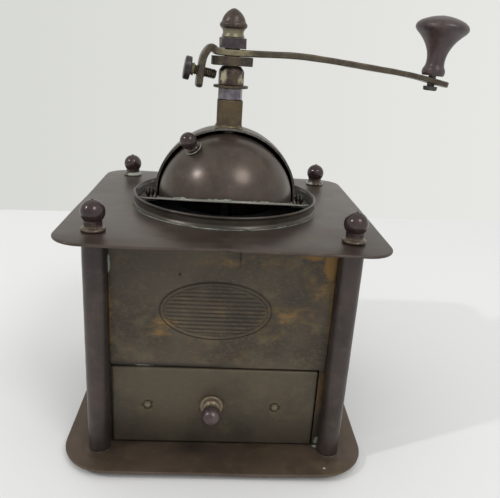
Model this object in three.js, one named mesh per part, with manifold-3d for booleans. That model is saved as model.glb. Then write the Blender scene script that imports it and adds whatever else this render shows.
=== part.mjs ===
// Box coffee mill in patinated brass: square plates, pillars, domed hopper and top crank.
// Millimetres, +Z up, the front faces -Y. The spindle's axis is drawn at X = 0, and the whole
// is moved along X at the end, so that the origin is on the ground at the middle of its outline.
import * as THREE from "three";
import { mergeVertices } from "three/addons/utils/BufferGeometryUtils.js";
import Module from "manifold-3d";

const wasm = await Module();
wasm.setup();

// Clearances
const seatGap = 0.2; // between two pieces that sit on each other
const boreGap = 0.3; // between a shaft and its bore, on the radius
const cutGap = 0.3; // between a piece and the neighbour that it is shaped to

// Plates and frame
const sheet = 1.2; // thickness of the two plates and the deck
const topHalf = 75.4; // half the side of the top plate
const topCorner = 14; // its corner radius
const topDroop = 0.5; // how far its outer edge hangs
const topDroopWidth = 10; // width of the drooping border
const baseHalf = 76.5;
const baseCorner = 24;
const baseDroop = 0.7;
const baseDroopWidth = 9;
const footHeight = 4.5;
const footRadius = 5;
const plateSpacing = 115; // from the base plate's top face to the top plate's top face
const pillarPitch = 58.4; // pillar axes from the centre, in X and in Y
const pillarRadius = 5.5;
const pillarWall = 1.2;
const rodRadius = 2;
const finialBall = 5.5;
const finialBallHeight = 8.6; // ball centre above the top plate
const finialNeck = 0.74; // neck radius as a share of the ball's
const finialBore = 6;

// Box and drawer
const boxHalf = 54.8; // outside of the side walls
const boxFront = -53.8; // front face of the side walls' flanges
const boxWall = 1;
const cornerStrip = 1.9; // width of a side wall's front flange
const rearFlange = 7;
const panelHalf = 53.3;
const panelThickness = 1;
const panelFold = 3; // fold along the panel's lower edge
const drawerHeight = 44.4;
const drawerHalf = 51.3; // half the width of the drawer's front
const drawerFold = 2.6;
const drawerGap = 0.8; // around the drawer's front
const trayHalf = 48.2;
const trayDepth = 102;
const trayHeight = 39;
const trayWall = 0.9;
const railHeight = 5;
const railFoot = 7;
const knobBall = 5;
const knobReach = 8.6; // ball centre in front of the drawer
const drawerOffset = -1.3; // the drawer sits a little left of the box's centre
const knobOffset = -1.4; // and its knob a little left of the drawer's
const knobHeight = 23.4; // above the base plate
const knobStem = 3.4;
const knobStud = 2;
const rivetOffset = 32;
const rivetRadius = 2.1;
const rivetShank = 1.25;
const ovalHalfWidth = 26.5;
const ovalHalfHeight = 14.8;
const ovalHeight = 75.8; // centre above the base plate
const ovalRim = 1.1;
const ovalRelief = 0.6;
const ovalBars = 9;

// Hopper
const hopperMouth = 25; // radius of the hole in the top plate
const collarGap = 0.5; // between the rear brim and the collar
const collarWall = 1.3;
const collarHeight = 6.1;
const collarBead = 0.7;
const domeRadius = 37.8;
const domeCentre = 4; // height of the dome's centre, and of the lid's hinge, above the top plate
const domeWall = 1;
const archLean = 12; // degrees by which the rear dome's edge leans forward
const shellGap = 1.2; // between the rear dome and the lid
const lidWall = 1;
const lidLean = 7.5; // degrees by which the closed lid's upper edge leans forward
const lidRaised = 14.5; // degrees by which the lid stands open at rest
const lidLift = 3.5; // degrees that it can still rise from there
const brimThickness = 0.8;
const brimReach = 8.2; // from the rear dome's outside to the edge of the lid's brim
const rearBrimReach = 8.8; // and to the edge of its own brim
const rearBrimThickness = 1;
const earRadius = 2.6;
const earThickness = 1.2;
const earReach = 1.2; // from the rear dome's outside to the inner face of the lid's ears
const lidRivet = 1.1; // radius
const lidKnobBall = 4.3;
const lidKnobStem = 2.4;
const lidKnobRing = 4.3;
const lidKnobStud = 1.2;
const lidKnobReach = 5.7; // ball centre above the shell
const lidKnobAzimuth = 37.6; // degrees to the left of the front
const lidKnobElevation = 38.5;
const brimScrewRadius = 2.1;
const brimScrewShank = 1.25;
const brimScrewAngle = 22; // degrees behind the hinge line
const funnelNeck = 5; // straight end of the funnel
const funnelThroat = 15.5;
const funnelFlange = 4.5;
const funnelWall = 1;

// Spindle, its bearing and the adjustment; heights above the top plate
const spindleRadius = 3.8;
const postSide = 13;
const postTop = 54.8;
const postNutFlats = 11.6;
const postNutHeight = 5.4;
const postNutTurn = 20; // degrees by which it stands turned
const washerRadius = 8.9;
const washerThickness = 1.3;
const adjusterFlats = 12.2;
const adjusterHeight = 9;
const adjusterNeckWall = 0.5; // round the bore, at the nut's upper end
const adjusterShoulder = 3.2;
const bossClear = 5.4; // from the tail's leg to the end of the boss
const bossWidth = 13;
const bossHeight = 4.3;
const lockNutSide = 12.4;
const lockNutHeight = 5;
const acornNeckWall = 0.85; // round the bore, at the acorn's waist
const acornRidge = 2.8; // ridge beyond the bore
const acornHeight = 13.4;

// Crank; its arm is a strip whose middle line starts at the hub
const crankAngle = 7; // degrees to the rear of +X
const armThickness = 3.4;
const armEndThickness = 2.8;
const armWidth = 12;
const armEndWidth = 10;
const armReach = 118.6; // tip of the arm from the spindle's axis
const armDrop = 9.6; // fall of the arm from the hub to its tip
const tailReach = 15.4; // the tail's leg from the spindle's axis
const tailDepth = 17.6; // tip of the leg below the hub
const tailHump = 1.9; // rise of the tail's bend above the hub
const gripReach = 109;
const armEndSlope = 10; // degrees by which the arm falls under the grip
const gripTilt = 3; // degrees outwards
const gripHeight = 30.2;
const gripRadius = 13.8;
const pinRadius = 2;

// Thumb screw through the tail's leg
const screwRadius = 2.5;
const screwTilt = 10; // degrees down towards the spindle
const screwTip = 0.35; // from the tip to the adjusting nut's corners
const screwTravel = 1.1; // how far its collar stands off the leg
const screwHeadRadius = 5.5;
const screwHeadThickness = 3;
const screwCollar = 3.4;
const screwCollarLength = 2.4;

// Grinding parts; heights above the base plate
const deckHeight = 46.2;
const deckHole = 14.5;
const housingRadius = 21;
const housingHeight = 34;
const housingToothDepth = 1.3;
const housingTeeth = 14;
const flangeThickness = 3;
const housingScrewShank = 1.3;
const ringTop = 10.6; // tooth tips of the burr ring at its upper end
const ringBottom = 14.2; // and at its lower end
const ringHeight = 19;
const ringFloor = 9; // lower end of the ring above the housing's foot
const coneWall = 0.8; // between the bore and the tooth roots at the cone's upper end
const coneTeeth = 7;
const coneToothDepth = 1.5;
const coneTwist = 100; // degrees of helix over the cone's height
const burrGap = 0.8; // between the tooth tips at the lower end
const bridgeThickness = 4;
const journalRadius = 3;
const springClear = 1.05; // between the spindle's bore line and the wire
const springWire = 1.3;
const springTurns = 6;
const upperBridgeDrop = 9; // top of the upper bridge below the top plate
const upperBridgeThickness = 3;
const upperBridgeWidth = 9;

// Facets round a turned piece, by its size
const hugeTurn = 32;
const largeTurn = 24;
const middleTurn = 14;
const smallTurn = 12;
const tinyTurn = 8;
const gripTurn = 18; // the grip is the largest turned piece that shows

// Sizes and levels worked out from the sizes above
const brimOuter = domeRadius + brimReach;
const rearBrimOuter = domeRadius + rearBrimReach;
const collarRadius = rearBrimOuter + collarGap + collarWall;
const earPlace = domeRadius + earReach;
const spindleBore = spindleRadius + boreGap;
const coneTop = spindleBore + coneWall + coneToothDepth;
const springRadius = spindleBore + springClear + springWire / 2;
const bossLength = 2 * (tailReach - bossClear);
const adjusterNeck = spindleBore + adjusterNeckWall;
const baseTop = footHeight + sheet;
const topTop = baseTop + plateSpacing;
const topUnder = topTop - sheet;
const rad = THREE.MathUtils.degToRad;

// Materials
const finish = (color, roughness, metalness = 0.85) =>
  new THREE.MeshStandardMaterial({ color, roughness, metalness });
const plateBrown = finish(0x6b6460, 0.42);
const panelOlive = finish(0x4a4238, 0.55);
const pillarPlum = finish(0x4a4240, 0.4);
const ballPlum = finish(0x43393b, 0.28);
const domeGrey = finish(0x4a4441, 0.38);
const postOlive = finish(0x5a4c38, 0.5);
const nutSilver = finish(0x77707a, 0.35);
const brassGrey = finish(0x8a8468, 0.45);
const steelDark = finish(0x55534f, 0.5);
const gripBrown = finish(0x3d2f2b, 0.35, 0.1);

// Geometry to solid: only positions, shared corners merged, slivers without area dropped
function solid(geometry) {
  const bare = geometry.clone();
  bare.deleteAttribute("normal");
  bare.deleteAttribute("uv");
  const merged = mergeVertices(bare, 1e-4);
  const corners = merged.index.array;
  const kept = [];
  for (let at = 0; at < corners.length; at += 3) {
    const [a, b, c] = corners.slice(at, at + 3);
    if (a !== b && b !== c && c !== a) kept.push(a, b, c);
  }
  const mesh = new wasm.Mesh({
    numProp: 3,
    vertProperties: new Float32Array(merged.attributes.position.array),
    triVerts: new Uint32Array(kept),
  });
  return new wasm.Manifold(mesh);
}

// One named mesh in a group, at a place and a turn
function piece(group, name, body, material, place = [0, 0, 0], turn = [0, 0, 0]) {
  const mesh = body.getMesh();
  const geometry = new THREE.BufferGeometry();
  geometry.setAttribute("position", new THREE.BufferAttribute(new Float32Array(mesh.vertProperties), 3));
  geometry.setIndex(new THREE.BufferAttribute(new Uint32Array(mesh.triVerts), 1));
  geometry.computeVertexNormals();
  const node = new THREE.Mesh(geometry, material);
  node.name = name;
  node.position.set(...place);
  node.rotation.set(...turn);
  group.add(node);
  return node;
}

// Shapes in a plane
function outline(points) {
  return new THREE.Shape(points.map(([x, y]) => new THREE.Vector2(x, y)));
}

function rectangle(x0, y0, x1, y1) {
  return outline([[x0, y0], [x1, y0], [x1, y1], [x0, y1]]);
}

function roundedRectangle(halfWidth, halfHeight, radius) {
  const shape = new THREE.Shape();
  shape.absarc(halfWidth - radius, halfHeight - radius, radius, 0, Math.PI / 2);
  shape.absarc(radius - halfWidth, halfHeight - radius, radius, Math.PI / 2, Math.PI);
  shape.absarc(radius - halfWidth, radius - halfHeight, radius, Math.PI, 1.5 * Math.PI);
  shape.absarc(halfWidth - radius, radius - halfHeight, radius, 1.5 * Math.PI, 2 * Math.PI);
  return shape;
}

function roundPoints(sides, radius) {
  const points = [];
  for (let side = 0; side < sides; side += 1) {
    const angle = (side / sides) * 2 * Math.PI;
    points.push([radius * Math.cos(angle), radius * Math.sin(angle)]);
  }
  return points;
}

const polygon = (sides, radius) => outline(roundPoints(sides, radius));

function withHole(shape, radius) {
  const points = roundPoints(smallTurn, radius).map(([x, y]) => new THREE.Vector2(x, y));
  shape.holes.push(new THREE.Path(points.reverse()));
  return shape;
}

// Shapes made solid along Z, Y or X
function alongZ(shape, depth, from, curveSegments = 8) {
  const geometry = new THREE.ExtrudeGeometry(shape, { depth, bevelEnabled: false, curveSegments });
  return solid(geometry.translate(0, 0, from));
}

function alongY(shape, depth, from, curveSegments = 8) {
  const geometry = new THREE.ExtrudeGeometry(shape, { depth, bevelEnabled: false, curveSegments });
  return solid(geometry.rotateX(Math.PI / 2).translate(0, from + depth, 0));
}

function alongX(shape, depth, from, curveSegments = 8) {
  const geometry = new THREE.ExtrudeGeometry(shape, { depth, bevelEnabled: false, curveSegments });
  return solid(geometry.rotateX(Math.PI / 2).rotateZ(Math.PI / 2).translate(from, 0, 0));
}

// A profile of [radius, height] points turned about Z. One that starts on the axis ends on it,
// and any other closes on its first point, so a blind bore ends on the axis in between
function turned(profile, segments) {
  const points = profile.map(([radius, height]) => new THREE.Vector2(radius, height));
  const onAxis = profile[0][0] === 0;
  if (!onAxis) points.push(points[0].clone());
  return solid(new THREE.LatheGeometry(points, segments).rotateX(Math.PI / 2));
}

const rod = (radius, low, high, segments = middleTurn) =>
  turned([[0, low], [radius, low], [radius, high], [0, high]], segments);

const ring = (inner, outer, low, high, segments) =>
  turned([[inner, low], [outer, low], [outer, high], [inner, high]], segments);

// Clearance hole for a screw's shank, and a body drilled with it at each place
const screwHole = (shank, low, high) => rod(shank + boreGap, low, high, tinyTurn);

const drilledAt = (places, body, hole) =>
  places.reduce((drilled, [x, y]) => drilled.subtract(hole.translate([x, y, 0])), body);

// Points on an arc of a profile, degrees from the horizontal
function arcPoints(radius, height, from, to, steps) {
  const points = [];
  for (let step = 0; step <= steps; step += 1) {
    const angle = rad(from + ((to - from) * step) / steps);
    points.push([radius * Math.cos(angle), height + radius * Math.sin(angle)]);
  }
  return points;
}

// A solid from closed rings with the same number of points, each joined to the next
function ringSolid(rings) {
  const count = rings[0].length;
  const position = rings.flat(2);
  const index = [];
  for (let level = 0; level < rings.length; level += 1) {
    const next = (level + 1) % rings.length;
    for (let at = 0; at < count; at += 1) {
      const a = level * count + at;
      const b = level * count + ((at + 1) % count);
      const c = next * count + ((at + 1) % count);
      const d = next * count + at;
      index.push(a, b, d, c, d, b);
    }
  }
  const geometry = new THREE.BufferGeometry();
  geometry.setAttribute("position", new THREE.Float32BufferAttribute(position, 3));
  geometry.setIndex(index);
  return solid(geometry);
}

// Plates
const cornerSteps = 5;
const sideSteps = 2;

function roundedSquareRing(half, corner, height) {
  const points = [];
  const centre = half - corner;
  for (let side = 0; side < 4; side += 1) {
    const turn = (side * Math.PI) / 2;
    const local = [];
    for (let step = 0; step <= cornerSteps; step += 1) {
      const angle = (step / cornerSteps) * (Math.PI / 2);
      local.push([centre + corner * Math.cos(angle), centre + corner * Math.sin(angle)]);
    }
    for (let step = 1; step < sideSteps; step += 1) {
      local.push([centre - (2 * centre * step) / sideSteps, half]);
    }
    for (const [x, y] of local) {
      points.push([
        x * Math.cos(turn) - y * Math.sin(turn),
        x * Math.sin(turn) + y * Math.cos(turn),
        height,
      ]);
    }
  }
  return points;
}

// A sheet whose border droops in a smooth curve
function droopingPlate({ half, corner, droop, droopWidth }) {
  const centre = (height) => roundedSquareRing(half, corner, 0).map(() => [0, 0, height]);
  const border = [0, 0.6, 1].map((share) => {
    const inset = droopWidth * (1 - share);
    const height = -droop * (1 - Math.cos((share * Math.PI) / 2));
    return { inset, height };
  });
  const under = border.map(({ inset, height }) =>
    roundedSquareRing(half - inset, corner - inset, height - sheet));
  const over = border.map(({ inset, height }) =>
    roundedSquareRing(half - inset, corner - inset, height));
  return ringSolid([centre(-sheet), ...under, ...over.reverse(), centre(0)]);
}

const corners = [
  ["front_left", -1, -1],
  ["front_right", 1, -1],
  ["rear_left", -1, 1],
  ["rear_right", 1, 1],
];

function drilledAtPillars(plate) {
  const places = corners.map(([, sideX, sideY]) => [sideX * pillarPitch, sideY * pillarPitch]);
  return drilledAt(places, plate, rod(rodRadius + boreGap, -2 * sheet, sheet, smallTurn));
}

function basePlate() {
  return drilledAtPillars(droopingPlate({
    half: baseHalf,
    corner: baseCorner,
    droop: baseDroop,
    droopWidth: baseDroopWidth,
  }));
}

function topPlate() {
  const plate = drilledAtPillars(droopingPlate({
    half: topHalf,
    corner: topCorner,
    droop: topDroop,
    droopWidth: topDroopWidth,
  }));
  const open = plate.subtract(rod(hopperMouth, -2 * sheet, sheet, hugeTurn));
  return drilledAt(brimScrewPlaces(), open, screwHole(brimScrewShank, -2 * sheet, sheet));
}

// Tie bolts whose heads are the feet, pillars round them and finials screwed on top
const boltTop = topTop + finialBore - 0.6;

const tieBolt = () => turned([
  [0, 0],
  [footRadius - 0.8, 0],
  [footRadius, 0.8],
  [footRadius, footHeight - 1.2],
  [footRadius - 0.6, footHeight - seatGap],
  [rodRadius, footHeight - seatGap],
  [rodRadius, boltTop],
  [0, boltTop],
], smallTurn);

const pillarLength = topUnder - baseTop - 2 * seatGap;
const pillar = () => ring(pillarRadius - pillarWall, pillarRadius, 0, pillarLength, middleTurn);

function finial() {
  const neck = finialNeck * finialBall;
  const ballFrom = THREE.MathUtils.radToDeg(-Math.acos(neck / finialBall));
  const foot = pillarRadius - 0.1;
  const profile = [
    [rodRadius + boreGap, 0],
    [foot, 0],
    [foot, 0.7],
    [foot - 0.9, 1.5],
    [neck, 2.6],
    ...arcPoints(finialBall, finialBallHeight - seatGap, ballFrom, 68, 5),
    [0, finialBallHeight - seatGap + finialBall + 0.4],
    [0, finialBore],
    [rodRadius + boreGap, finialBore],
  ];
  return turned(profile, middleTurn);
}

// Box walls; each side wall is a channel with a narrow front and a wider rear flange
const wallLow = baseTop + seatGap;
const wallHigh = topUnder - seatGap;
const boxRear = -boxFront - boxWall - seatGap;

function sideWall(side) {
  const web = boxHalf - boxWall;
  const points = [
    [boxHalf, boxFront],
    [boxHalf, boxRear],
    [boxHalf - rearFlange, boxRear],
    [boxHalf - rearFlange, boxRear - boxWall],
    [web, boxRear - boxWall],
    [web, boxFront + boxWall],
    [boxHalf - cornerStrip, boxFront + boxWall],
    [boxHalf - cornerStrip, boxFront],
  ].map(([x, y]) => [side * x, y]);
  return alongZ(outline(points), wallHigh - wallLow, wallLow);
}

function rearWall() {
  const face = boxRear + seatGap;
  return alongZ(rectangle(-boxHalf, face, boxHalf, face + boxWall), wallHigh - wallLow, wallLow);
}

// Front panel with its raised oval rim and the plain bars inside the oval
const panelFace = boxFront - seatGap - panelThickness;
const panelLow = baseTop + drawerHeight + drawerGap;

function ellipseShape(halfWidth, halfHeight) {
  const shape = new THREE.Shape();
  shape.absellipse(0, 0, halfWidth, halfHeight, 0, 2 * Math.PI);
  return shape;
}

const ovalFacets = 18;

function frontPanel() {
  const plate = alongY(rectangle(-panelHalf, panelLow, panelHalf, wallHigh), panelThickness, panelFace);
  const foldHalf = panelHalf - cornerStrip;
  const foldShape = rectangle(-foldHalf, panelLow, foldHalf, panelLow + panelThickness);
  const fold = alongY(foldShape, panelFold, panelFace + panelThickness - 0.5);
  const depth = ovalRelief + 0.4;
  const from = panelFace - ovalRelief;
  const oval = alongY(ellipseShape(ovalHalfWidth, ovalHalfHeight), depth, from, ovalFacets);
  const inner = ellipseShape(ovalHalfWidth - ovalRim, ovalHalfHeight - ovalRim);
  const field = alongY(inner, depth + 2, from - 1, ovalFacets);
  let relief = oval.subtract(field);
  const pitch = (2 * ovalHalfHeight) / (ovalBars + 1);
  for (let bar = 1; bar <= ovalBars; bar += 1) {
    const height = -ovalHalfHeight + bar * pitch;
    const strip = rectangle(-ovalHalfWidth, height - pitch / 5, ovalHalfWidth, height + pitch / 5);
    relief = relief.add(alongY(strip, depth * 0.8, from + depth * 0.2).intersect(oval));
  }
  return plate.add(fold).add(relief.translate([drawerOffset + knobOffset, 0, baseTop + ovalHeight]));
}

// Drawer: its group's origin is the drawer's front face, on the base plate
const frontSheet = 1;
const trayFloor = drawerGap + frontSheet + seatGap; // the tray's underside above the base plate

function drawerTray() {
  const outer = alongZ(rectangle(-trayHalf, 0, trayHalf, trayDepth), trayHeight, trayFloor);
  const inner = alongZ(
    rectangle(trayWall - trayHalf, trayWall, trayHalf - trayWall, trayDepth - trayWall),
    trayHeight,
    trayFloor + trayWall,
  );
  return boredFromFront(outer.subtract(inner), -1, trayWall + 1);
}

function drawerFront() {
  const low = drawerGap;
  const outer = alongY(rectangle(-drawerHalf, low, drawerHalf, drawerHeight), drawerFold, 0);
  const inner = alongY(
    rectangle(frontSheet - drawerHalf, low + frontSheet, drawerHalf - frontSheet, drawerHeight - frontSheet),
    drawerFold,
    frontSheet,
  );
  return boredFromFront(outer.subtract(inner), -1, frontSheet + 1);
}

// Holes for the knob's stud and the two rivets
function boredFromFront(body, from, to) {
  let bored = body;
  for (const x of [knobOffset - rivetOffset, knobOffset, knobOffset + rivetOffset]) {
    const radius = (x === knobOffset ? knobStud : rivetShank) + boreGap;
    bored = bored.subtract(lyingRod(radius, from, to).translate([x, 0, knobHeight]));
  }
  return bored;
}

function lyingRod(radius, from, to) {
  const hole = new THREE.CylinderGeometry(radius, radius, to - from, smallTurn);
  return solid(hole.translate(0, (from + to) / 2, 0));
}

// Turned pieces that point forwards: profile heights count from the drawer's face
const facingFront = (profile, segments) =>
  turned(profile, segments).rotate([90, 0, 0]);

const knobWasherThickness = 1;

function drawerKnob() {
  const neck = 0.62 * knobBall;
  const seat = knobWasherThickness + 2 * seatGap;
  const ballFrom = THREE.MathUtils.radToDeg(-Math.acos(neck / knobBall));
  return facingFront([
    [0, -(frontSheet + trayWall + 2)],
    [knobStud, -(frontSheet + trayWall + 2)],
    [knobStud, seat],
    [knobStem + 0.9, seat],
    [knobStem + 0.9, seat + 0.8],
    [knobStem, seat + 1.6],
    [neck, knobReach - 0.9 * knobBall],
    ...arcPoints(knobBall, knobReach, ballFrom, 70, 6),
    [0, knobReach + knobBall],
  ], middleTurn);
}

const knobWasher = () => facingFront([
  [knobStud + boreGap, seatGap],
  [knobStem + 2.6, seatGap],
  [knobStem + 2.2, seatGap + knobWasherThickness],
  [knobStud + boreGap, seatGap + knobWasherThickness],
], middleTurn);

function drawerRivet() {
  const inside = frontSheet + trayWall + seatGap;
  return facingFront([
    [0, -(inside + 0.8)],
    [rivetShank, -(inside + 0.8)],
    [rivetShank, seatGap],
    [rivetRadius, seatGap],
    [rivetRadius * 0.8, seatGap + 0.7],
    [rivetRadius * 0.4, seatGap + 1.1],
    [0, seatGap + 1.2],
  ], smallTurn);
}

// Runner that the tray slides on
function drawerRail(side) {
  const inner = trayHalf + cutGap;
  const points = [
    [inner - railFoot, seatGap],
    [inner + 1, seatGap],
    [inner + 1, railHeight],
    [inner, railHeight],
    [inner, trayFloor - cutGap],
    [inner - railFoot, trayFloor - cutGap],
  ].map(([x, z]) => [side * x, z]);
  return alongY(outline(points), trayDepth - 6, boxFront + 4);
}

// Deck between the mechanism and the drawer, folded down at both sides
function deck() {
  const half = boxHalf - boxWall - cutGap;
  const fold = 4;
  const high = deckHeight + sheet;
  const front = boxFront + panelFold + 1;
  const points = [
    [-half, high - fold - sheet],
    [sheet - half, high - fold - sheet],
    [sheet - half, high - sheet],
    [half - sheet, high - sheet],
    [half - sheet, high - fold - sheet],
    [half, high - fold - sheet],
    [half, high],
    [-half, high],
  ];
  const channel = alongY(outline(points), boxRear - boxWall - cutGap - front, front);
  const open = channel.subtract(rod(deckHole, 0, high + 1, largeTurn));
  return drilledAt(housingScrewPlaces(), open, screwHole(housingScrewShank, 0, high + 1));
}

// Hopper
function hopperCollar() {
  const outer = collarRadius;
  const inner = collarRadius - collarWall;
  const beadHeight = collarHeight - collarBead;
  return turned([
    [inner, seatGap],
    [outer + 0.9, seatGap],
    [outer + 0.7, 0.8],
    [outer, 1.2],
    ...arcPoints(collarBead, beadHeight, -60, 150, 4).map(([x, z]) => [x + outer - 0.1, z]),
    [inner, collarHeight - 0.5],
  ], hugeTurn);
}

// Half-space behind or before a plane through the hinge line that leans forward
function leaningHalf(lean, side, offset = 0) {
  const size = 4 * domeRadius;
  const block = alongX(rectangle(offset, -size, offset + side * size, size), size, -size / 2);
  return block.rotate([lean, 0, 0]);
}

// Sphere shell about the hinge line's middle, open at the top and the bottom
function domeShell(radius, wall, low, topHole, steps) {
  const span = (size) => {
    const from = THREE.MathUtils.radToDeg(Math.asin(low / size));
    const to = THREE.MathUtils.radToDeg(Math.acos(topHole / size));
    return arcPoints(size, 0, from, to, steps);
  };
  return turned([...span(radius), ...span(radius - wall).reverse()], hugeTurn);
}

// Ear with its foot on a brim; side is the direction in which the foot stands, -Y or +Y
function ear(side, footHigh) {
  const shape = new THREE.Shape();
  shape.absarc(0, 0, earRadius, rad(-18), rad(225));
  shape.lineTo(0.9, footHigh);
  shape.lineTo(4.4, footHigh);
  shape.closePath();
  withHole(shape, lidRivet + boreGap);
  const body = alongX(shape, earThickness, 0, 5);
  return side < 0 ? body.mirror([0, 1, 0]) : body;
}

// Both pieces of the dome are drawn about the hinge line
const plateLevel = -domeCentre;
const earGap = 0.6;
const rearEarPlace = earPlace + earThickness + earGap;

function withEars(body, place, side, footHigh) {
  const right = ear(side, footHigh).translate([place, 0, 0]);
  const left = ear(side, footHigh).translate([-place - earThickness, 0, 0]);
  return body.add(right).add(left);
}

const domeHole = spindleBore + 1; // takes the post's spigot

function brimScrewPlaces() {
  const radius = (rearBrimOuter + rearEarPlace) / 2 - 1;
  const angle = rad(brimScrewAngle);
  return [-1, 1].map((side) => [side * radius * Math.cos(angle), radius * Math.sin(angle)]);
}

function rearDome() {
  const low = plateLevel + seatGap;
  const shell = domeShell(domeRadius, domeWall, low, domeHole, 6).subtract(leaningHalf(archLean, -1));
  const brim = ring(domeRadius - domeWall / 2, rearBrimOuter, low, low + rearBrimThickness, hugeTurn)
    .subtract(leaningHalf(0, -1, cutGap));
  const body = withEars(shell.add(brim), rearEarPlace, 1, low + rearBrimThickness - 0.4);
  return drilledAt(
    brimScrewPlaces(),
    body,
    screwHole(brimScrewShank, low - 1, low + rearBrimThickness + 1),
  );
}

const lidRadius = domeRadius - domeWall - shellGap;

function hopperLid() {
  const low = plateLevel + seatGap + 0.1;
  const rearCut = leaningHalf(lidLean, 1);
  const lowCut = alongX(rectangle(-cutGap, -domeRadius, domeRadius, 0), 4 * domeRadius, -2 * domeRadius);
  const notchHalf = spindleRadius + 0.7;
  const open = rad(lidRaised + lidLift);
  const notchEnd = lidRadius * Math.sin(open) + 0.3;
  const notchShape = new THREE.Shape();
  notchShape.absarc(0, -notchEnd, notchHalf, Math.PI, 2 * Math.PI);
  notchShape.lineTo(notchHalf, domeRadius);
  notchShape.lineTo(-notchHalf, domeRadius);
  notchShape.closePath();
  const notch = alongZ(notchShape, domeRadius, lidRadius / 2);
  const cuts = rearCut.add(lowCut).add(notch);
  const shell = domeShell(lidRadius, lidWall, low, 0.5, 6).subtract(cuts);
  const brim = ring(lidRadius - lidWall * 0.9, brimOuter, low, low + brimThickness, hugeTurn)
    .subtract(leaningHalf(0, 1, -cutGap));
  const body = withEars(shell.add(brim), earPlace, -1, low + brimThickness - 0.4);
  const stud = screwHole(lidKnobStud, lidRadius - 2 * lidWall, lidRadius + 1);
  return body.subtract(aimedAtKnob(stud));
}

// Turns a solid that stands on Z so that it points along the lid knob's direction
function aimedAtKnob(body) {
  return body.rotate([90 - lidKnobElevation, 0, 0]).rotate([0, 0, -lidKnobAzimuth]);
}

function lidKnob() {
  const seat = lidRadius + 0.35;
  const ballFrom = THREE.MathUtils.radToDeg(-Math.acos(lidKnobStem / lidKnobBall));
  const profile = [
    [0, lidRadius - lidWall - 0.7],
    [lidKnobStud, lidRadius - lidWall - 0.7],
    [lidKnobStud, seat],
    [lidKnobRing, seat],
    [lidKnobRing, seat + 0.6],
    [lidKnobStem + 0.2, seat + 1],
    ...arcPoints(lidKnobBall, lidRadius + lidKnobReach, ballFrom, 70, 5),
    [0, lidRadius + lidKnobReach + lidKnobBall + 0.1],
  ];
  return aimedAtKnob(turned(profile, middleTurn));
}

// Rivet through a pair of ears, lying along X; its heads stand clear on both sides
function lidHingeRivet(side) {
  const inner = earPlace - seatGap;
  const outer = rearEarPlace + earThickness + seatGap;
  const head = lidRivet + 0.8;
  const profile = [
    [0, inner - 0.5],
    [head * 0.8, inner - 0.5],
    [head, inner],
    [lidRivet, inner],
    [lidRivet, outer],
    [head, outer],
    [head * 0.8, outer + 0.6],
    [0, outer + 0.7],
  ];
  return turned(profile, tinyTurn).rotate([0, side * 90, 0]);
}

function brimScrew() {
  const seat = rearBrimThickness + 2 * seatGap;
  return turned([
    [0, -sheet - 1.4],
    [brimScrewShank, -sheet - 1.4],
    [brimScrewShank, seat],
    [brimScrewRadius, seat],
    [brimScrewRadius, seat + 0.5],
    [brimScrewRadius * 0.7, seat + 1],
    [0, seat + 1.1],
  ], smallTurn);
}

// Funnel under the top plate; heights count down from the plate's underside
const housingFoot = baseTop + deckHeight + sheet + seatGap;
const socketDepth = 3.4;
const funnelEnd = housingFoot + housingHeight - socketDepth + seatGap;
const funnelLength = topUnder - seatGap - funnelEnd - funnelNeck;
const funnelAt = (depth) => hopperMouth - ((hopperMouth - funnelThroat) * depth) / funnelLength;

function hopperFunnel() {
  const cone = turned([
    [funnelThroat, -funnelLength - funnelNeck],
    [funnelThroat + funnelWall, -funnelLength - funnelNeck],
    [funnelThroat + funnelWall, -funnelLength],
    [hopperMouth + funnelWall, -funnelWall],
    [hopperMouth + funnelFlange, -funnelWall],
    [hopperMouth + funnelFlange, 0],
    [hopperMouth, 0],
    [funnelThroat, -funnelLength],
  ], largeTurn);
  return cone;
}

// Bar across the funnel that guides the spindle and backs the spring
function upperBridge() {
  const top = -upperBridgeDrop + sheet;
  const plug = turned([
    [0, top - upperBridgeThickness],
    [funnelAt(-top + upperBridgeThickness) - cutGap, top - upperBridgeThickness],
    [funnelAt(-top) - cutGap, top],
    [0, top],
  ], largeTurn);
  const half = upperBridgeWidth / 2;
  const bar = alongZ(
    rectangle(-half, -hopperMouth, half, hopperMouth),
    upperBridgeThickness + 2,
    top - upperBridgeThickness - 1,
  );
  const hub = rod(spindleRadius + 3, top - upperBridgeThickness, top);
  return bar.intersect(plug).add(hub).subtract(rod(spindleBore, -funnelLength, 0, smallTurn));
}

// Burr ring housing; heights count from its foot on the deck
const housingFlange = housingRadius + 7;

function housingScrewPlaces() {
  const radius = housingRadius + 3.6;
  return [0, 1, 2].map((turn) => {
    const angle = Math.PI / 2 + (turn * 2 * Math.PI) / 3;
    return [radius * Math.cos(angle), radius * Math.sin(angle)];
  });
}

// Toothed surface: rings of points whose radius swings between the root and the tip of each tooth
function toothedRings({ heights, tip, depth, teeth, twist, perTooth, inward }) {
  const shares = inward ? [0, 1, 0.35] : [0, 1, 0.75, 0.3];
  return heights.map((height, level) => {
    const share = level / (heights.length - 1);
    const points = [];
    for (let tooth = 0; tooth < teeth; tooth += 1) {
      for (let step = 0; step < perTooth; step += 1) {
        const angle = ((tooth + step / perTooth) / teeth) * 2 * Math.PI + rad(twist * share);
        const cut = depth * (1 - shares[step]);
        const radius = inward ? tip(share) + cut : tip(share) - cut;
        points.push([radius * Math.cos(angle), radius * Math.sin(angle), height]);
      }
    }
    return points;
  });
}

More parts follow.
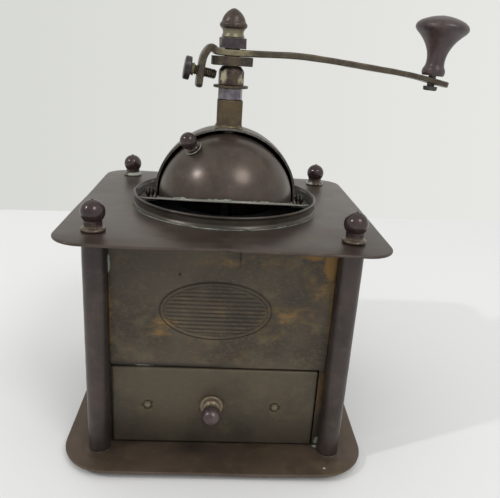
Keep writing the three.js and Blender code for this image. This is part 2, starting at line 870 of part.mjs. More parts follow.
function burrHousing() {
  const count = housingTeeth * 3;
  const circle = (radius, height) => {
    const points = [];
    for (let at = 0; at < count; at += 1) {
      const angle = (at / count) * 2 * Math.PI;
      points.push([radius * Math.cos(angle), radius * Math.sin(angle), height]);
    }
    return points;
  };
  const heights = [0, 0.5, 1].map((share) => ringFloor + ringHeight * share);
  const teeth = toothedRings({
    heights,
    tip: (share) => ringBottom + (ringTop - ringBottom) * share,
    depth: housingToothDepth,
    teeth: housingTeeth,
    twist: -18,
    perTooth: 3,
    inward: true,
  });
  const socket = funnelThroat + funnelWall + cutGap;
  const chamber = housingRadius - 3;
  const body = ringSolid([
    circle(chamber, 0),
    circle(housingFlange, 0),
    circle(housingFlange, flangeThickness),
    circle(housingRadius, flangeThickness),
    circle(housingRadius, housingHeight),
    circle(socket, housingHeight),
    circle(socket, housingHeight - socketDepth),
    circle(funnelThroat - 1.5, housingHeight - socketDepth),
    ...teeth.reverse(),
    circle(chamber, ringFloor - 2),
  ]);
  return drilledAt(housingScrewPlaces(), body, screwHole(housingScrewShank, -1, flangeThickness + 2));
}

function housingScrew() {
  const head = housingScrewShank + 1.3;
  const seat = flangeThickness + seatGap;
  return turned([
    [0, -sheet - 2.4],
    [housingScrewShank, -sheet - 2.4],
    [housingScrewShank, seat],
    [head, seat],
    [head, seat + 1],
    [head * 0.6, seat + 1.7],
    [0, seat + 1.8],
  ], smallTurn);
}

// Spider that guides the spindle's foot, inside the housing's foot
const bridgeTop = housingFoot + seatGap + bridgeThickness;

function lowerBridge() {
  const outer = housingRadius - 3 - cutGap;
  const rim = ring(outer - 2.6, outer, 0, bridgeThickness, gripTurn);
  const bar = alongZ(rectangle(-3, 1.5 - outer, 3, outer - 1.5), bridgeThickness, 0);
  const hub = rod(journalRadius + 3.4, 0, bridgeThickness);
  return rim.add(bar).add(hub).subtract(rod(journalRadius + boreGap, -1, bridgeThickness + 1, smallTurn));
}

// Burr cone with helical teeth; its lower end sits level with the ring's lower end
const coneFoot = housingFoot + ringFloor - 1;
const coneHeight = ringHeight + 3;

function burrCone() {
  const heights = [0, 1, 2, 3, 4, 5, 6].map((level) => (coneHeight * level) / 6);
  const bottom = ringBottom - burrGap;
  const rings = toothedRings({
    heights,
    tip: (share) => bottom + (coneTop - bottom) * share,
    depth: coneToothDepth,
    teeth: coneTeeth,
    twist: coneTwist,
    perTooth: 4,
    inward: false,
  });
  const centre = (height) => rings[0].map(() => [0, 0, height]);
  const body = ringSolid([centre(0), ...rings, centre(coneHeight)]);
  return body.subtract(rod(spindleBore, -1, coneHeight + 1, smallTurn));
}

// Coil of wire round the spindle between the upper bridge and the cone's collar
const springLow = coneFoot + coneHeight + 3.4;
const springHigh = topTop - upperBridgeDrop - upperBridgeThickness - seatGap;

function liftSpring() {
  const perTurn = 8;
  const sides = 5;
  const steps = springTurns * perTurn;
  const low = springLow + springWire / 2 + seatGap;
  const rise = springHigh - springWire / 2 - low;
  const sections = [];
  for (let step = 0; step <= steps; step += 1) {
    const angle = (step / perTurn) * 2 * Math.PI;
    const along = new THREE.Vector3(-Math.sin(angle), Math.cos(angle), 0);
    const outward = new THREE.Vector3(Math.cos(angle), Math.sin(angle), 0);
    const middle = outward.clone().multiplyScalar(springRadius).setZ(low + (rise * step) / steps);
    const section = [];
    for (let side = 0; side < sides; side += 1) {
      const turn = (side / sides) * 2 * Math.PI;
      const offset = outward.clone().multiplyScalar((springWire / 2) * Math.cos(turn));
      offset.z = (springWire / 2) * Math.sin(turn);
      section.push(middle.clone().add(offset).toArray());
    }
    sections.push({ section, middle, along });
  }
  const first = sections[0].section.map(() => sections[0].middle.toArray());
  const last = sections[0].section.map(() => sections[steps].middle.toArray());
  return ringSolid([last, ...sections.map(({ section }) => section).reverse(), first]);
}

// Spindle: journal, shoulder for the cone's nut, collar above the cone, shaft up to the acorn
const spindleTop = 94;

function spindle() {
  const collarLow = coneFoot + coneHeight + seatGap;
  return turned([
    [0, housingFoot + 0.6],
    [journalRadius, housingFoot + 0.6],
    [journalRadius, bridgeTop + 0.8],
    [spindleRadius, bridgeTop + 0.8],
    [spindleRadius, collarLow],
    [springRadius + 0.8, collarLow],
    [springRadius + 0.8, springLow],
    [spindleRadius, springLow],
    [spindleRadius, topTop + spindleTop - 1],
    [spindleRadius - 1, topTop + spindleTop],
    [0, topTop + spindleTop],
  ], smallTurn);
}

const hexRadius = (flats) => flats / Math.sqrt(3);

const hexNut = (flats, height, bore) =>
  alongZ(withHole(polygon(6, hexRadius(flats)), bore), height, 0);

const burrNutHeight = 2.4;
const burrNutFlats = 2 * (spindleBore + 0.9);
const burrNut = () => hexNut(burrNutFlats, burrNutHeight, spindleBore);

// Bearing post: a square column whose foot is hollowed to sit on the dome
function bearingPost() {
  const half = postSide / 2;
  const bottom = domeCentre + domeRadius * 0.9;
  const column = alongZ(roundedRectangle(half, half, 0.8), postTop - bottom, bottom, 3);
  const dome = turned([
    [0, domeCentre - domeRadius - cutGap],
    ...arcPoints(domeRadius + cutGap, domeCentre, 64, 84, 3),
    [0, domeCentre + domeRadius + cutGap],
  ], middleTurn);
  const spigot = rod(domeHole - boreGap, domeCentre + domeRadius - domeWall, postTop - 2);
  const bore = rod(spindleBore, 0, postTop + 1, smallTurn);
  return column.subtract(dome).add(spigot).subtract(bore);
}

// Stack on the post; each height is the foot of the piece above the top plate
const postNutFoot = postTop + seatGap;
const washerFoot = postNutFoot + postNutHeight + seatGap;
const adjusterFoot = washerFoot + washerThickness + seatGap;
const bossFoot = adjusterFoot + adjusterHeight + cutGap;
const armFoot = bossFoot + bossHeight + seatGap;
const armMiddle = armFoot + armThickness / 2;
const lockNutFoot = armFoot + armThickness + seatGap;
const acornFoot = lockNutFoot + lockNutHeight + seatGap;

const postNut = () => hexNut(postNutFlats, postNutHeight, spindleBore);
const thrustWasher = () => ring(spindleBore, washerRadius, 0, washerThickness, gripTurn);

// Adjusting nut: hexagon whose shoulders are turned down to a narrow neck
function adjustingNut() {
  const corner = hexRadius(adjusterFlats);
  const hex = alongZ(polygon(6, corner), adjusterHeight, 0);
  const envelope = turned([
    [0, -1],
    [corner - 0.3, -1],
    [corner + 0.2, 0.6],
    [corner + 0.2, adjusterHeight - adjusterShoulder],
    [adjusterNeck + 0.7, adjusterHeight - 0.9],
    [adjusterNeck, adjusterHeight - 0.7],
    [adjusterNeck, adjusterHeight],
    [0, adjusterHeight],
  ], 24);
  return hex.intersect(envelope).subtract(rod(spindleBore, -2, adjusterHeight + 2, smallTurn));
}

// Acorn nut: waisted neck, ridge and pointed cap over a blind bore
function acornNut() {
  const waist = spindleBore + acornNeckWall;
  const ridge = spindleBore + acornRidge;
  const boreTop = spindleTop - acornFoot + 0.4;
  const profile = [
    [spindleBore, 0],
    [waist + 0.65, 0],
    [waist + 0.25, 0.9],
    [waist, 2],
    [waist + 0.35, 3.2],
    [ridge - 0.8, 4],
    [ridge - 0.6, 4.5],
    [ridge, 5],
    [ridge, 5.7],
    [0.87 * ridge, 6.8],
    [0.83 * ridge, 8],
    [0.72 * ridge, 9.9],
    [0.56 * ridge, 11.6],
    [0.32 * ridge, acornHeight - 0.6],
    [0.13 * ridge, acornHeight - 0.1],
    [0, acornHeight],
    [0, boreTop],
    [spindleBore, boreTop],
  ];
  return turned(profile, middleTurn);
}

// Crank: the strip's middle line in X and Z, from the tip of the tail's leg to the tip of the arm
const nutEdge = lockNutSide / 2; // the strip lies flat under the lock nut and bends beyond it
const spine = new THREE.CatmullRomCurve3([
  [-tailReach - 1.1, -tailDepth],
  [-tailReach, -tailDepth * 0.45],
  [-tailReach + 1.4, -1.8],
  [-(tailReach + nutEdge) / 2, tailHump],
  [-nutEdge - 1.8, 0.35],
  [1.2 - nutEdge, 0],
  [12, 0],
  [0.3 * armReach, 0.02 * armDrop],
  [0.56 * armReach, -0.25 * armDrop],
  [0.82 * armReach, -0.6 * armDrop],
  [armReach, -armDrop],
].map(([x, z]) => new THREE.Vector3(x, 0, z)));

const armSlice = (share) => {
  const middle = spine.getPoint(share);
  const along = spine.getTangent(share);
  const reach = Math.max(0, middle.x / armReach);
  const half = (armThickness + (armEndThickness - armThickness) * reach) / 2;
  return { middle, half, normal: new THREE.Vector2(-along.z, along.x) };
};

function crankArm() {
  const steps = 22;
  const upper = [];
  const lower = [];
  for (let step = 0; step <= steps; step += 1) {
    const { middle, half, normal } = armSlice(step / steps);
    upper.push([middle.x + normal.x * half, middle.z + normal.y * half]);
    lower.push([middle.x - normal.x * half, middle.z - normal.y * half]);
  }
  const side = alongY(outline([...lower, ...upper.reverse()]), armWidth + 4, -armWidth / 2 - 2);
  const end = armEndWidth / 2;
  const plan = new THREE.Shape();
  plan.moveTo(-tailReach - 6, -armWidth / 2 + 1);
  plan.lineTo(-bossLength / 2, -armWidth / 2);
  plan.lineTo(bossLength / 2, -armWidth / 2);
  plan.lineTo(armReach - end, -end);
  plan.absarc(armReach - end, 0, end, -Math.PI / 2, Math.PI / 2);
  plan.lineTo(bossLength / 2, armWidth / 2);
  plan.lineTo(-bossLength / 2, armWidth / 2);
  plan.lineTo(-tailReach - 6, armWidth / 2 - 1);
  const trimmed = side.intersect(alongZ(plan, 40, -30));
  const pinHole = rod(pinRadius + boreGap, -20, 20, smallTurn).rotate([0, gripTilt, 0]);
  const thumbHole = alongScrew(rod(screwRadius + boreGap, -6, 6)).rotate([0, screwTilt, 0]);
  return trimmed
    .subtract(rod(spindleBore, -5, 5, smallTurn))
    .subtract(pinHole.translate([gripReach, 0, armHeightAt(gripReach)]))
    .subtract(thumbHole.translate([screwHoleX, 0, screwHoleZ]));
}

// Height of the strip's middle line at a distance along the arm
function armHeightAt(reach) {
  let low = 0.5;
  let high = 1;
  for (let halving = 0; halving < 30; halving += 1) {
    const share = (low + high) / 2;
    if (spine.getPoint(share).x < reach) low = share;
    else high = share;
  }
  return spine.getPoint(low).z;
}

// Thumb screw: its axis passes the adjusting nut's corner circle at the nut's mid height
const nutMiddle = adjusterFoot + adjusterHeight * 0.5 - armMiddle;
const screwTipX = -(hexRadius(adjusterFlats) + screwTip) - screwRadius * Math.sin(rad(screwTilt));
const screwTipZ = nutMiddle;
const screwHoleX = -tailReach - 0.3;
const screwHoleZ = screwTipZ + (screwTipX - screwHoleX) * Math.tan(rad(screwTilt));

const legPass = (tailReach + armThickness / 2 + 0.3 + screwTipX) / Math.cos(rad(screwTilt));
const screwLength = legPass + screwTravel + screwCollarLength + screwHeadThickness;

const alongScrew = (body) => body.rotate([0, -90, 0]);

// Local heights run from the screw's tip towards its head
const screwShankBody = () => alongScrew(turned([
  [0, 0],
  [screwRadius - 0.6, 0],
  [screwRadius, 0.7],
  [screwRadius, screwLength - 1.6],
  [0, screwLength - 1.6],
], smallTurn));

function screwHead() {
  const inner = screwRadius + boreGap;
  const headFrom = screwLength - screwHeadThickness;
  const collarFrom = headFrom - screwCollarLength;
  const profile = [
    [inner, collarFrom],
    [screwCollar, collarFrom],
    [screwCollar - 0.3, collarFrom + 1],
    [screwCollar + 0.5, headFrom],
    [screwHeadRadius - 0.5, headFrom],
    [screwHeadRadius, headFrom + 0.6],
    [screwHeadRadius, screwLength - 0.6],
    [screwHeadRadius - 0.8, screwLength],
    [0, screwLength + 0.2],
    [0, screwLength - 1.3],
    [inner, screwLength - 1.3],
  ];
  return alongScrew(turned(profile, gripTurn));
}

// Turned grip with a blind bore for its pin; heights count from the grip's foot
const gripBore = gripHeight * 0.7;

function gripKnob() {
  const share = (radius, height) => [radius * gripRadius, height * gripHeight];
  const bore = pinRadius + boreGap;
  const profile = [
    [bore, 0],
    share(0.4, 0),
    share(0.44, 0.05),
    share(0.42, 0.12),
    share(0.335, 0.19),
    share(0.335, 0.3),
    share(0.39, 0.4),
    share(0.5, 0.52),
    share(0.67, 0.64),
    share(0.85, 0.72),
    share(0.97, 0.78),
    share(1, 0.83),
    share(0.95, 0.885),
    share(0.78, 0.93),
    share(0.5, 0.965),
    share(0.17, 0.985),
    share(0.1, 1),
    [0, gripHeight],
    [0, gripBore],
    [bore, gripBore],
  ];
  return turned(profile, gripTurn);
}

// Pin riveted in the arm's end; heights count from the grip's foot
const gripFoot = armThickness / 2 + pinSlack();

function pinSlack() {
  return 0.44 * gripRadius * Math.tan(rad(armEndSlope - gripTilt)) + seatGap;
}

const gripPin = () => turned([
  [0, -gripFoot - armThickness - 1.6],
  [pinRadius + 1.2, -gripFoot - armThickness - 1.6],
  [pinRadius + 1.7, -gripFoot - armThickness - 0.9],
  [pinRadius + 1.7, -gripFoot - armThickness + 0.6],
  [pinRadius, -gripFoot - armThickness + 0.6],
  [pinRadius, gripBore - 0.5],
  [0, gripBore - 0.5],
], smallTurn);

const crankBoss = () => alongZ(
  withHole(roundedRectangle(bossLength / 2, bossWidth / 2, 1.6), spindleBore),
  bossHeight,
  0,
  3,
);

const lockNut = () => alongZ(
  withHole(roundedRectangle(lockNutSide / 2, lockNutSide / 2, 0.7), spindleBore),
  lockNutHeight,
  0,
  3,
);

// Assembly
const grinder = new THREE.Group();

const frame = new THREE.Group();
grinder.add(frame);
piece(frame, "base_plate", basePlate(), plateBrown, [0, 0, baseTop]);
piece(frame, "top_plate", topPlate(), plateBrown, [0, 0, topTop]);
for (const [place, sideX, sideY] of corners) {
  const x = sideX * pillarPitch;
  const y = sideY * pillarPitch;
  piece(frame, `tie_bolt_${place}`, tieBolt(), brassGrey, [x, y, 0]);
  piece(frame, `pillar_${place}`, pillar(), pillarPlum, [x, y, baseTop + seatGap]);
  piece(frame, `finial_${place}`, finial(), ballPlum, [x, y, topTop + seatGap]);
}

const box = new THREE.Group();
grinder.add(box);
piece(box, "side_wall_left", sideWall(-1), panelOlive);
piece(box, "side_wall_right", sideWall(1), panelOlive);
piece(box, "rear_wall", rearWall(), panelOlive);
piece(box, "front_panel", frontPanel(), panelOlive);
piece(box, "deck", deck(), panelOlive, [0, 0, baseTop]);
piece(box, "drawer_rail_left", drawerRail(-1), steelDark, [drawerOffset, 0, baseTop]);
piece(box, "drawer_rail_right", drawerRail(1), steelDark, [drawerOffset, 0, baseTop]);

const drawer = new THREE.Group();
drawer.position.set(drawerOffset, panelFace - 0.6, baseTop);
grinder.add(drawer);
piece(drawer, "drawer_front", drawerFront(), panelOlive);
piece(drawer, "drawer_tray", drawerTray(), panelOlive, [0, frontSheet + seatGap, 0]);
piece(drawer, "drawer_knob_washer", knobWasher(), postOlive, [knobOffset, 0, knobHeight]);
piece(drawer, "drawer_knob", drawerKnob(), ballPlum, [knobOffset, 0, knobHeight]);
piece(drawer, "drawer_rivet_left", drawerRivet(), postOlive, [knobOffset - rivetOffset, 0, knobHeight]);
piece(drawer, "drawer_rivet_right", drawerRivet(), postOlive, [knobOffset + rivetOffset, 0, knobHeight]);

const hopper = new THREE.Group();
hopper.position.z = topTop;
grinder.add(hopper);
piece(hopper, "hopper_collar", hopperCollar(), domeGrey);
piece(hopper, "rear_dome", rearDome(), domeGrey, [0, 0, domeCentre]);
brimScrewPlaces().forEach(([x, y], at) => {
  piece(hopper, `brim_screw_${["left", "right"][at]}`, brimScrew(), ballPlum, [x, y, 0]);
});
piece(hopper, "lid_rivet_left", lidHingeRivet(-1), ballPlum, [0, 0, domeCentre]);
piece(hopper, "lid_rivet_right", lidHingeRivet(1), ballPlum, [0, 0, domeCentre]);
piece(hopper, "bearing_post", bearingPost(), postOlive);
piece(hopper, "post_nut", postNut(), nutSilver, [0, 0, postNutFoot], [0, 0, rad(postNutTurn)]);
piece(hopper, "hopper_funnel", hopperFunnel(), panelOlive, [0, 0, -sheet - seatGap]);
piece(hopper, "upper_bridge", upperBridge(), steelDark, [0, 0, -sheet - seatGap]);

const lid = new THREE.Group();
lid.position.z = domeCentre;
lid.rotation.x = -rad(lidRaised);
hopper.add(lid);
piece(lid, "hopper_lid", hopperLid(), domeGrey);
piece(lid, "lid_knob", lidKnob(), ballPlum);

const mill = new THREE.Group();
grinder.add(mill);
piece(mill, "burr_housing", burrHousing(), steelDark, [0, 0, housingFoot]);
housingScrewPlaces().forEach(([x, y], at) => {
  piece(mill, `housing_screw_${at + 1}`, housingScrew(), steelDark, [x, y, housingFoot]);
});
piece(mill, "lower_bridge", lowerBridge(), steelDark, [0, 0, housingFoot + seatGap]);
piece(mill, "burr_cone", burrCone(), steelDark, [0, 0, coneFoot]);
piece(mill, "burr_nut", burrNut(), steelDark, [0, 0, coneFoot - burrNutHeight - seatGap]);
piece(mill, "spindle", spindle(), steelDark);
piece(mill, "lift_spring", liftSpring(), steelDark);

const head = new THREE.Group();
head.position.z = topTop;
head.rotation.z = rad(crankAngle);
grinder.add(head);
piece(head, "thrust_washer", thrustWasher(), brassGrey, [0, 0, washerFoot]);
piece(head, "adjusting_nut", adjustingNut(), postOlive, [0, 0, adjusterFoot], [0, 0, rad(30)]);
piece(head, "crank_boss", crankBoss(), postOlive, [0, 0, bossFoot]);
piece(head, "lock_nut", lockNut(), postOlive, [0, 0, lockNutFoot]);
piece(head, "acorn_nut", acornNut(), ballPlum, [0, 0, acornFoot]);
piece(head, "crank_arm", crankArm(), postOlive, [0, 0, armMiddle]);

const thumb = new THREE.Group();
thumb.position.set(screwTipX, 0, armMiddle + screwTipZ);
thumb.rotation.y = rad(screwTilt);
head.add(thumb);
piece(thumb, "thumb_screw_shank", screwShankBody(), postOlive);
piece(thumb, "thumb_screw_head", screwHead(), ballPlum);

const grip = new THREE.Group();
grip.position.set(gripReach, 0, armMiddle + armHeightAt(gripReach));
grip.rotation.y = rad(gripTilt);
head.add(grip);
piece(grip, "grip_knob", gripKnob(), gripBrown, [0, 0, gripFoot]);
piece(grip, "grip_pin", gripPin(), steelDark, [0, 0, gripFoot]);

// The crank reaches out on one side, so the outline's middle is not on the spindle's axis
const extent = new THREE.Box3().setFromObject(grinder, true);
const tenths = (length) => Math.round(length * 10) / 10;
grinder.position.x = -tenths((extent.min.x + extent.max.x) / 2);

export default grinder;
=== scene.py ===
import math
import bpy
import bmesh
import numpy as np
from mathutils import Matrix, Vector


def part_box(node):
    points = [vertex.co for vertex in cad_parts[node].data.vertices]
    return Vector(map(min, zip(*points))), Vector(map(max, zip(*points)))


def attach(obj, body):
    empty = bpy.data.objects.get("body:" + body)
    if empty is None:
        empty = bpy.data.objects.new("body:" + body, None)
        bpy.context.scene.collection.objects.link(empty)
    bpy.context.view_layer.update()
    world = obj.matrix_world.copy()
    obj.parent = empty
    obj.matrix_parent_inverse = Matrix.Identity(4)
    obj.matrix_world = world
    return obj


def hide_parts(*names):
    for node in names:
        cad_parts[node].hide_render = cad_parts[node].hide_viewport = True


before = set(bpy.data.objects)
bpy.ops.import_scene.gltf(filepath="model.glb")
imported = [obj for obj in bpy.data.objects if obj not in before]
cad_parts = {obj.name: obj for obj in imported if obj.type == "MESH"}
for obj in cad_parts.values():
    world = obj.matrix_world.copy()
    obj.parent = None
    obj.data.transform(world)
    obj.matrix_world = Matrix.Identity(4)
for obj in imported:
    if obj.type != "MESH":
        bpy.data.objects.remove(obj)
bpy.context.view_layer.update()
mm = 0.001
spindleLow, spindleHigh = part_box("spindle")
axisX = (spindleLow.x + spindleHigh.x) / 2  # shapes are drawn in millimetres about the spindle's axis


def nodeBox(name):
    low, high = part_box(name)
    shift = np.array([axisX, 0, 0])
    return (np.array(low) - shift) / mm, (np.array(high) - shift) / mm


def nodeLevels(name):  # its lowest and its highest point
    low, high = nodeBox(name)
    return low[2], high[2]


plateLevel = nodeLevels("top_plate")[1]  # top faces of the two plates
baseLevel = nodeLevels("base_plate")[1]
pillarPitch = 58.4
crankAngle = math.radians(7)
lidRaised = math.radians(-14.5)
hingeLevel = plateLevel + 4
print("frame loaded, top plate at", round(plateLevel, 2))


# turning matrix from one axis towards another, used as points @ matrix.T
def turning(angle, first, second):
    matrix = np.eye(3)
    matrix[first, first] = matrix[second, second] = math.cos(angle)
    matrix[second, first], matrix[first, second] = math.sin(angle), -math.sin(angle)
    return matrix


def aboutX(angle): return turning(angle, 1, 2)
def aboutY(angle): return turning(angle, 2, 0)
def aboutZ(angle): return turning(angle, 0, 1)


# a part is (points, faces); a grid's points have the shape rows, columns, 3
def gridFaces(rows, columns, wrapRows=False, wrapColumns=False):
    i, j = np.meshgrid(np.arange(rows - (not wrapRows)), np.arange(columns - (not wrapColumns)), indexing="ij")
    up, right = (i + 1) % rows, (j + 1) % columns
    return np.stack([i * columns + j, i * columns + right, up * columns + right, up * columns + j], -1).reshape(-1, 4)


def turnPart(part, matrix=None, move=(0, 0, 0)):
    points, faces = part
    return (points if matrix is None else points @ matrix.T) + np.asarray(move, float), faces


# sum of five sine waves in random directions, about -1 to 1, with crests "size" mm apart
def ripple(points, size, seed):
    rng = np.random.default_rng(seed)
    directions = rng.normal(size=(5, points.shape[-1]))
    directions /= np.linalg.norm(directions, axis=1)[:, None]
    lengths = size * rng.uniform(0.7, 1.6, 5)
    phases = rng.uniform(0, 2 * np.pi, 5)
    return 1.4 * np.sin(points @ (directions * (2 * np.pi / lengths)[:, None]).T + phases).mean(-1)


def smoothStep(value, low, high):
    share = np.clip((value - low) / (high - low), 0, 1)
    return share * share * (3 - 2 * share)


def fadeOut(value, low, high):  # 1 up to low and 0 from high on
    return 1 - smoothStep(value, low, high)


def bell(value, centre, wide):  # 1 at the centre, falling off on both sides
    return np.exp(-(((value - centre) / wide) ** 2))


def fromAxis(points):
    return np.hypot(points[..., 0], points[..., 1])


def circled(radius, angle, level):  # x = r cos a, y = r sin a, z = level
    return np.stack([radius * np.cos(angle), radius * np.sin(angle), level + 0 * angle], -1)


fromFront, fromAbove = (0, 2), (0, 1)  # the two coordinates that such a view shows


# largest of some soft spots, each (across, along, wide, high, strength)
def softSpots(points, spots, seen=fromFront):
    u, v = points[:, seen[0]], points[:, seen[1]]
    return np.maximum.reduce([strength * bell(u, a, wide) * bell(v, b, high) for a, b, wide, high, strength in spots])


# each corner of a polyline becomes a quadratic curve that starts and ends at most "cut" from it
def softened(corners, cut=0.25, steps=5, loop=False):
    p = np.asarray(corners, float)
    if loop:
        p = np.vstack([p[-1], p, p[0]])
    corner, toBefore, toAfter = p[1:-1], p[:-2] - p[1:-1], p[2:] - p[1:-1]
    before, after = np.linalg.norm(toBefore, axis=1)[:, None], np.linalg.norm(toAfter, axis=1)[:, None]
    reach = np.minimum(np.broadcast_to(np.reshape(cut, (-1, 1)), before.shape), 0.45 * np.minimum(before, after))
    t = np.linspace(0, 1, steps)[None, :, None]
    start, end = corner + toBefore / before * reach, corner + toAfter / after * reach
    curve = (1 - t) ** 2 * start[:, None] + 2 * t * (1 - t) * corner[:, None] + t**2 * end[:, None]
    curve = curve.reshape(-1, p.shape[1])
    return curve if loop else np.vstack([p[:1], curve, p[-1:]])


# extra points on a polyline, so that none is further than "step" from the next
def evenly(line, step):
    line = np.asarray(line, float)
    along = np.concatenate([[0], np.cumsum(np.linalg.norm(np.diff(line, axis=0), axis=1))])
    along, keep = np.unique(along, return_index=True)
    line = line[keep]
    at = np.union1d(along, np.linspace(0, along[-1], max(2, int(along[-1] / step) + 1)))
    at = at[np.concatenate([[True], np.diff(at) > step * 0.02])]
    return np.stack([np.interp(at, along, line[:, k]) for k in range(line.shape[1])], -1)


# circle about (0, height) in a profile, from one angle above the horizontal to another
def arc(radius, height, low, high, count=24, centre=0.0):
    angle = np.radians(np.linspace(low, high, count))
    return np.stack([centre + radius * np.cos(angle), height + radius * np.sin(angle)], -1)


# x = r cos a, y = r sin a, z = h for every profile point (r, h) and angle a
def lathe(profile, turns=72, wrap=False, wobble=0.0, seed=1):
    profile = np.asarray(profile, float)
    angle = np.linspace(0, 2 * np.pi, turns, endpoint=False)
    points = circled(profile[:, :1], angle, profile[:, 1:])
    if wobble:
        swell = 1 + wobble * ripple(points, 9, seed) / np.maximum(np.abs(profile[:, :1]), 2)
        points[..., :2] *= swell[..., None]
    return points, gridFaces(len(profile), turns, wrap, True)


def evenLoop(profile, step):
    return evenly(np.vstack([profile, profile[:1]]), step)[:-1]


def ringLathe(profile, step, turns, wobble, seed):  # the same, from a profile that is a loop
    return lathe(evenLoop(profile, step), turns, True, wobble, seed)


# radius = bore + share (outer(a, h) - bore): a solid about Z whose outline changes with angle and height
def polarSolid(share, height, outer, bore, turns=144):
    angle = np.linspace(0, 2 * np.pi, turns, endpoint=False)[None, :]
    height = np.asarray(height, float)
    height = height[:, None] + 0 * angle if height.ndim == 1 else height
    radius = bore + np.asarray(share, float)[:, None] * (outer(angle, height) - bore)
    return circled(radius, angle, height), gridFaces(len(height), turns, bore > 0, True)


# regular polygon with its corners turned down to "tip": apothem / cos of the angle from the nearest flat
def polygonRadius(angle, sides, flats, tip):
    half = np.pi / sides
    edge = flats / 2 / np.cos((angle % (2 * half)) - half)
    soft = 0.09
    return -soft * np.log(np.exp(-edge / soft) + np.exp(-tip / soft))


# superellipse |x/a|^p + |y/b|^p = 1 in polar form: a block with rounded corners
def blockRadius(angle, halfX, halfY, power):
    return (np.abs(np.cos(angle) / halfX) ** power + np.abs(np.sin(angle) / halfY) ** power) ** (-1 / power)


# rounded rectangle as points and outward normals, with extra points along its sides
def roundedOutline(halfX, halfY, corner, perCorner=14, perSide=40):
    turn = np.radians(np.linspace(0, 90, perCorner))
    points, normals = [], []
    for quarter, (signX, signY) in enumerate(((1, 1), (-1, 1), (-1, -1), (1, -1))):
        angle = turn + quarter * np.pi / 2
        normal = np.stack([np.cos(angle), np.sin(angle)], -1)
        points.append([signX * (halfX - corner), signY * (halfY - corner)] + corner * normal)
        normals.append(normal)
    sides, sideNormals = [], []
    for quarter in range(4):
        share = np.linspace(0, 1, perSide + 1)[1:-1, None]
        start, end = points[quarter][-1], points[(quarter + 1) % 4][0]
        sides += [points[quarter], start + (end - start) * share]
        sideNormals += [normals[quarter], np.repeat(normals[quarter][-1:], perSide - 1, 0)]
    return np.vstack(sides), np.vstack(sideNormals)


# tube whose radius may change along a closed or open path; sections stand square to the path
def beadPart(path, radius, closed=True, sides=8):
    path = np.asarray(path, float)
    radius = np.broadcast_to(radius, len(path))[:, None, None]
    ahead = np.roll(path, -1, 0) - np.roll(path, 1, 0)
    if not closed:
        ahead[0], ahead[-1] = path[1] - path[0], path[-1] - path[-2]
    ahead /= np.linalg.norm(ahead, axis=1)[:, None]
    side = np.cross(ahead, [0.03, 0.02, 1.0])
    side /= np.linalg.norm(side, axis=1)[:, None]
    up = np.cross(side, ahead)
    angle = np.linspace(0, 2 * np.pi, sides, endpoint=False)[None, :, None]
    points = path[:, None] + radius * (np.cos(angle) * side[:, None] + np.sin(angle) * up[:, None])
    if not closed:
        points = np.concatenate([points[:1] * 0 + path[:1, None], points, points[:1] * 0 + path[-1:, None]])
    return points, gridFaces(len(points), sides, closed, True)


# line of solder along a path, thicker here and thinner there
def solderBead(path, thick, uneven, size, seed, least, most, closed=True):
    return beadPart(path, np.clip(thick + uneven * ripple(path, size, seed), least, most), closed)


# change of normal over length along each edge, averaged at its ends and spread to the neighbours
def markEdges(mesh, spread=3):
    count = len(mesh.vertices)
    place, normal = np.empty(count * 3, np.float32), np.empty(count * 3, np.float32)
    mesh.vertices.foreach_get("co", place)
    mesh.vertex_normals.foreach_get("vector", normal)
    ends = np.empty(len(mesh.edges) * 2, np.int32)
    mesh.edges.foreach_get("vertices", ends)
    a, b = ends.reshape(-1, 2).T
    place, normal = place.reshape(-1, 3).astype(float) / mm, normal.reshape(-1, 3).astype(float)
    step = place[b] - place[a]
    length = np.maximum(np.linalg.norm(step, axis=1), 0.02)
    bend = ((normal[b] - normal[a]) * step).sum(1) / length**2
    at, amount = np.concatenate([a, b]), np.concatenate([length, length])
    weight = np.maximum(np.bincount(at, amount, count), 1e-6)
    bend = np.bincount(at, np.concatenate([bend * length] * 2), count) / weight
    for _ in range(spread):
        bend = 0.4 * bend + 0.6 * np.bincount(at, np.concatenate([bend[b], bend[a]]) * amount, count) / weight
    for name, value in (("worn", smoothStep(bend, 0.35, 1.3)), ("hollow", smoothStep(-bend, 0.12, 0.8))):
        mesh.attributes.new(name, "FLOAT", "POINT").data.foreach_set("value", value.astype(np.float32))


# one object from its parts: joined, doubles merged, holes closed, normals outwards, edges marked
def makePiece(name, parts, body, paint, replaced=(), marks=None, angle=38, close=True):
    parts = parts if isinstance(parts, list) else [parts]
    flat = [np.asarray(points, float).reshape(-1, 3) for points, _ in parts]
    starts = np.cumsum([0] + [len(p) for p in flat[:-1]])
    points = np.vstack(flat)
    faces = np.vstack([f + start for (_, f), start in zip(parts, starts)])
    mesh = bpy.data.meshes.new(name)
    mesh.from_pydata((points * mm + [axisX, 0, 0]).tolist(), [], faces.tolist())
    for mark, where in (marks or {}).items():  # crust, stained, rubbed brass and painted light, soot and painted shade: 0 to 1 at each point
        mesh.attributes.new(mark, "FLOAT", "POINT").data.foreach_set("value", where(points).astype(np.float32))
    shape = bmesh.new()
    shape.from_mesh(mesh)
    bmesh.ops.remove_doubles(shape, verts=shape.verts, dist=1.5e-6)
    bmesh.ops.dissolve_degenerate(shape, edges=shape.edges, dist=1e-7)
    if close:
        bmesh.ops.holes_fill(shape, edges=[e for e in shape.edges if e.is_boundary], sides=0)
    bmesh.ops.recalc_face_normals(shape, faces=shape.faces)
    shape.to_mesh(mesh)
    shape.free()
    mesh.shade_smooth()
    mesh.set_sharp_from_angle(angle=math.radians(angle))
    markEdges(mesh)
    piece = bpy.data.objects.new(name, mesh)
    bpy.context.scene.collection.objects.link(piece)
    mesh.materials.append(paint)
    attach(piece, body)
    if replaced:
        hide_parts(*([replaced] if isinstance(replaced, str) else replaced))
    return piece


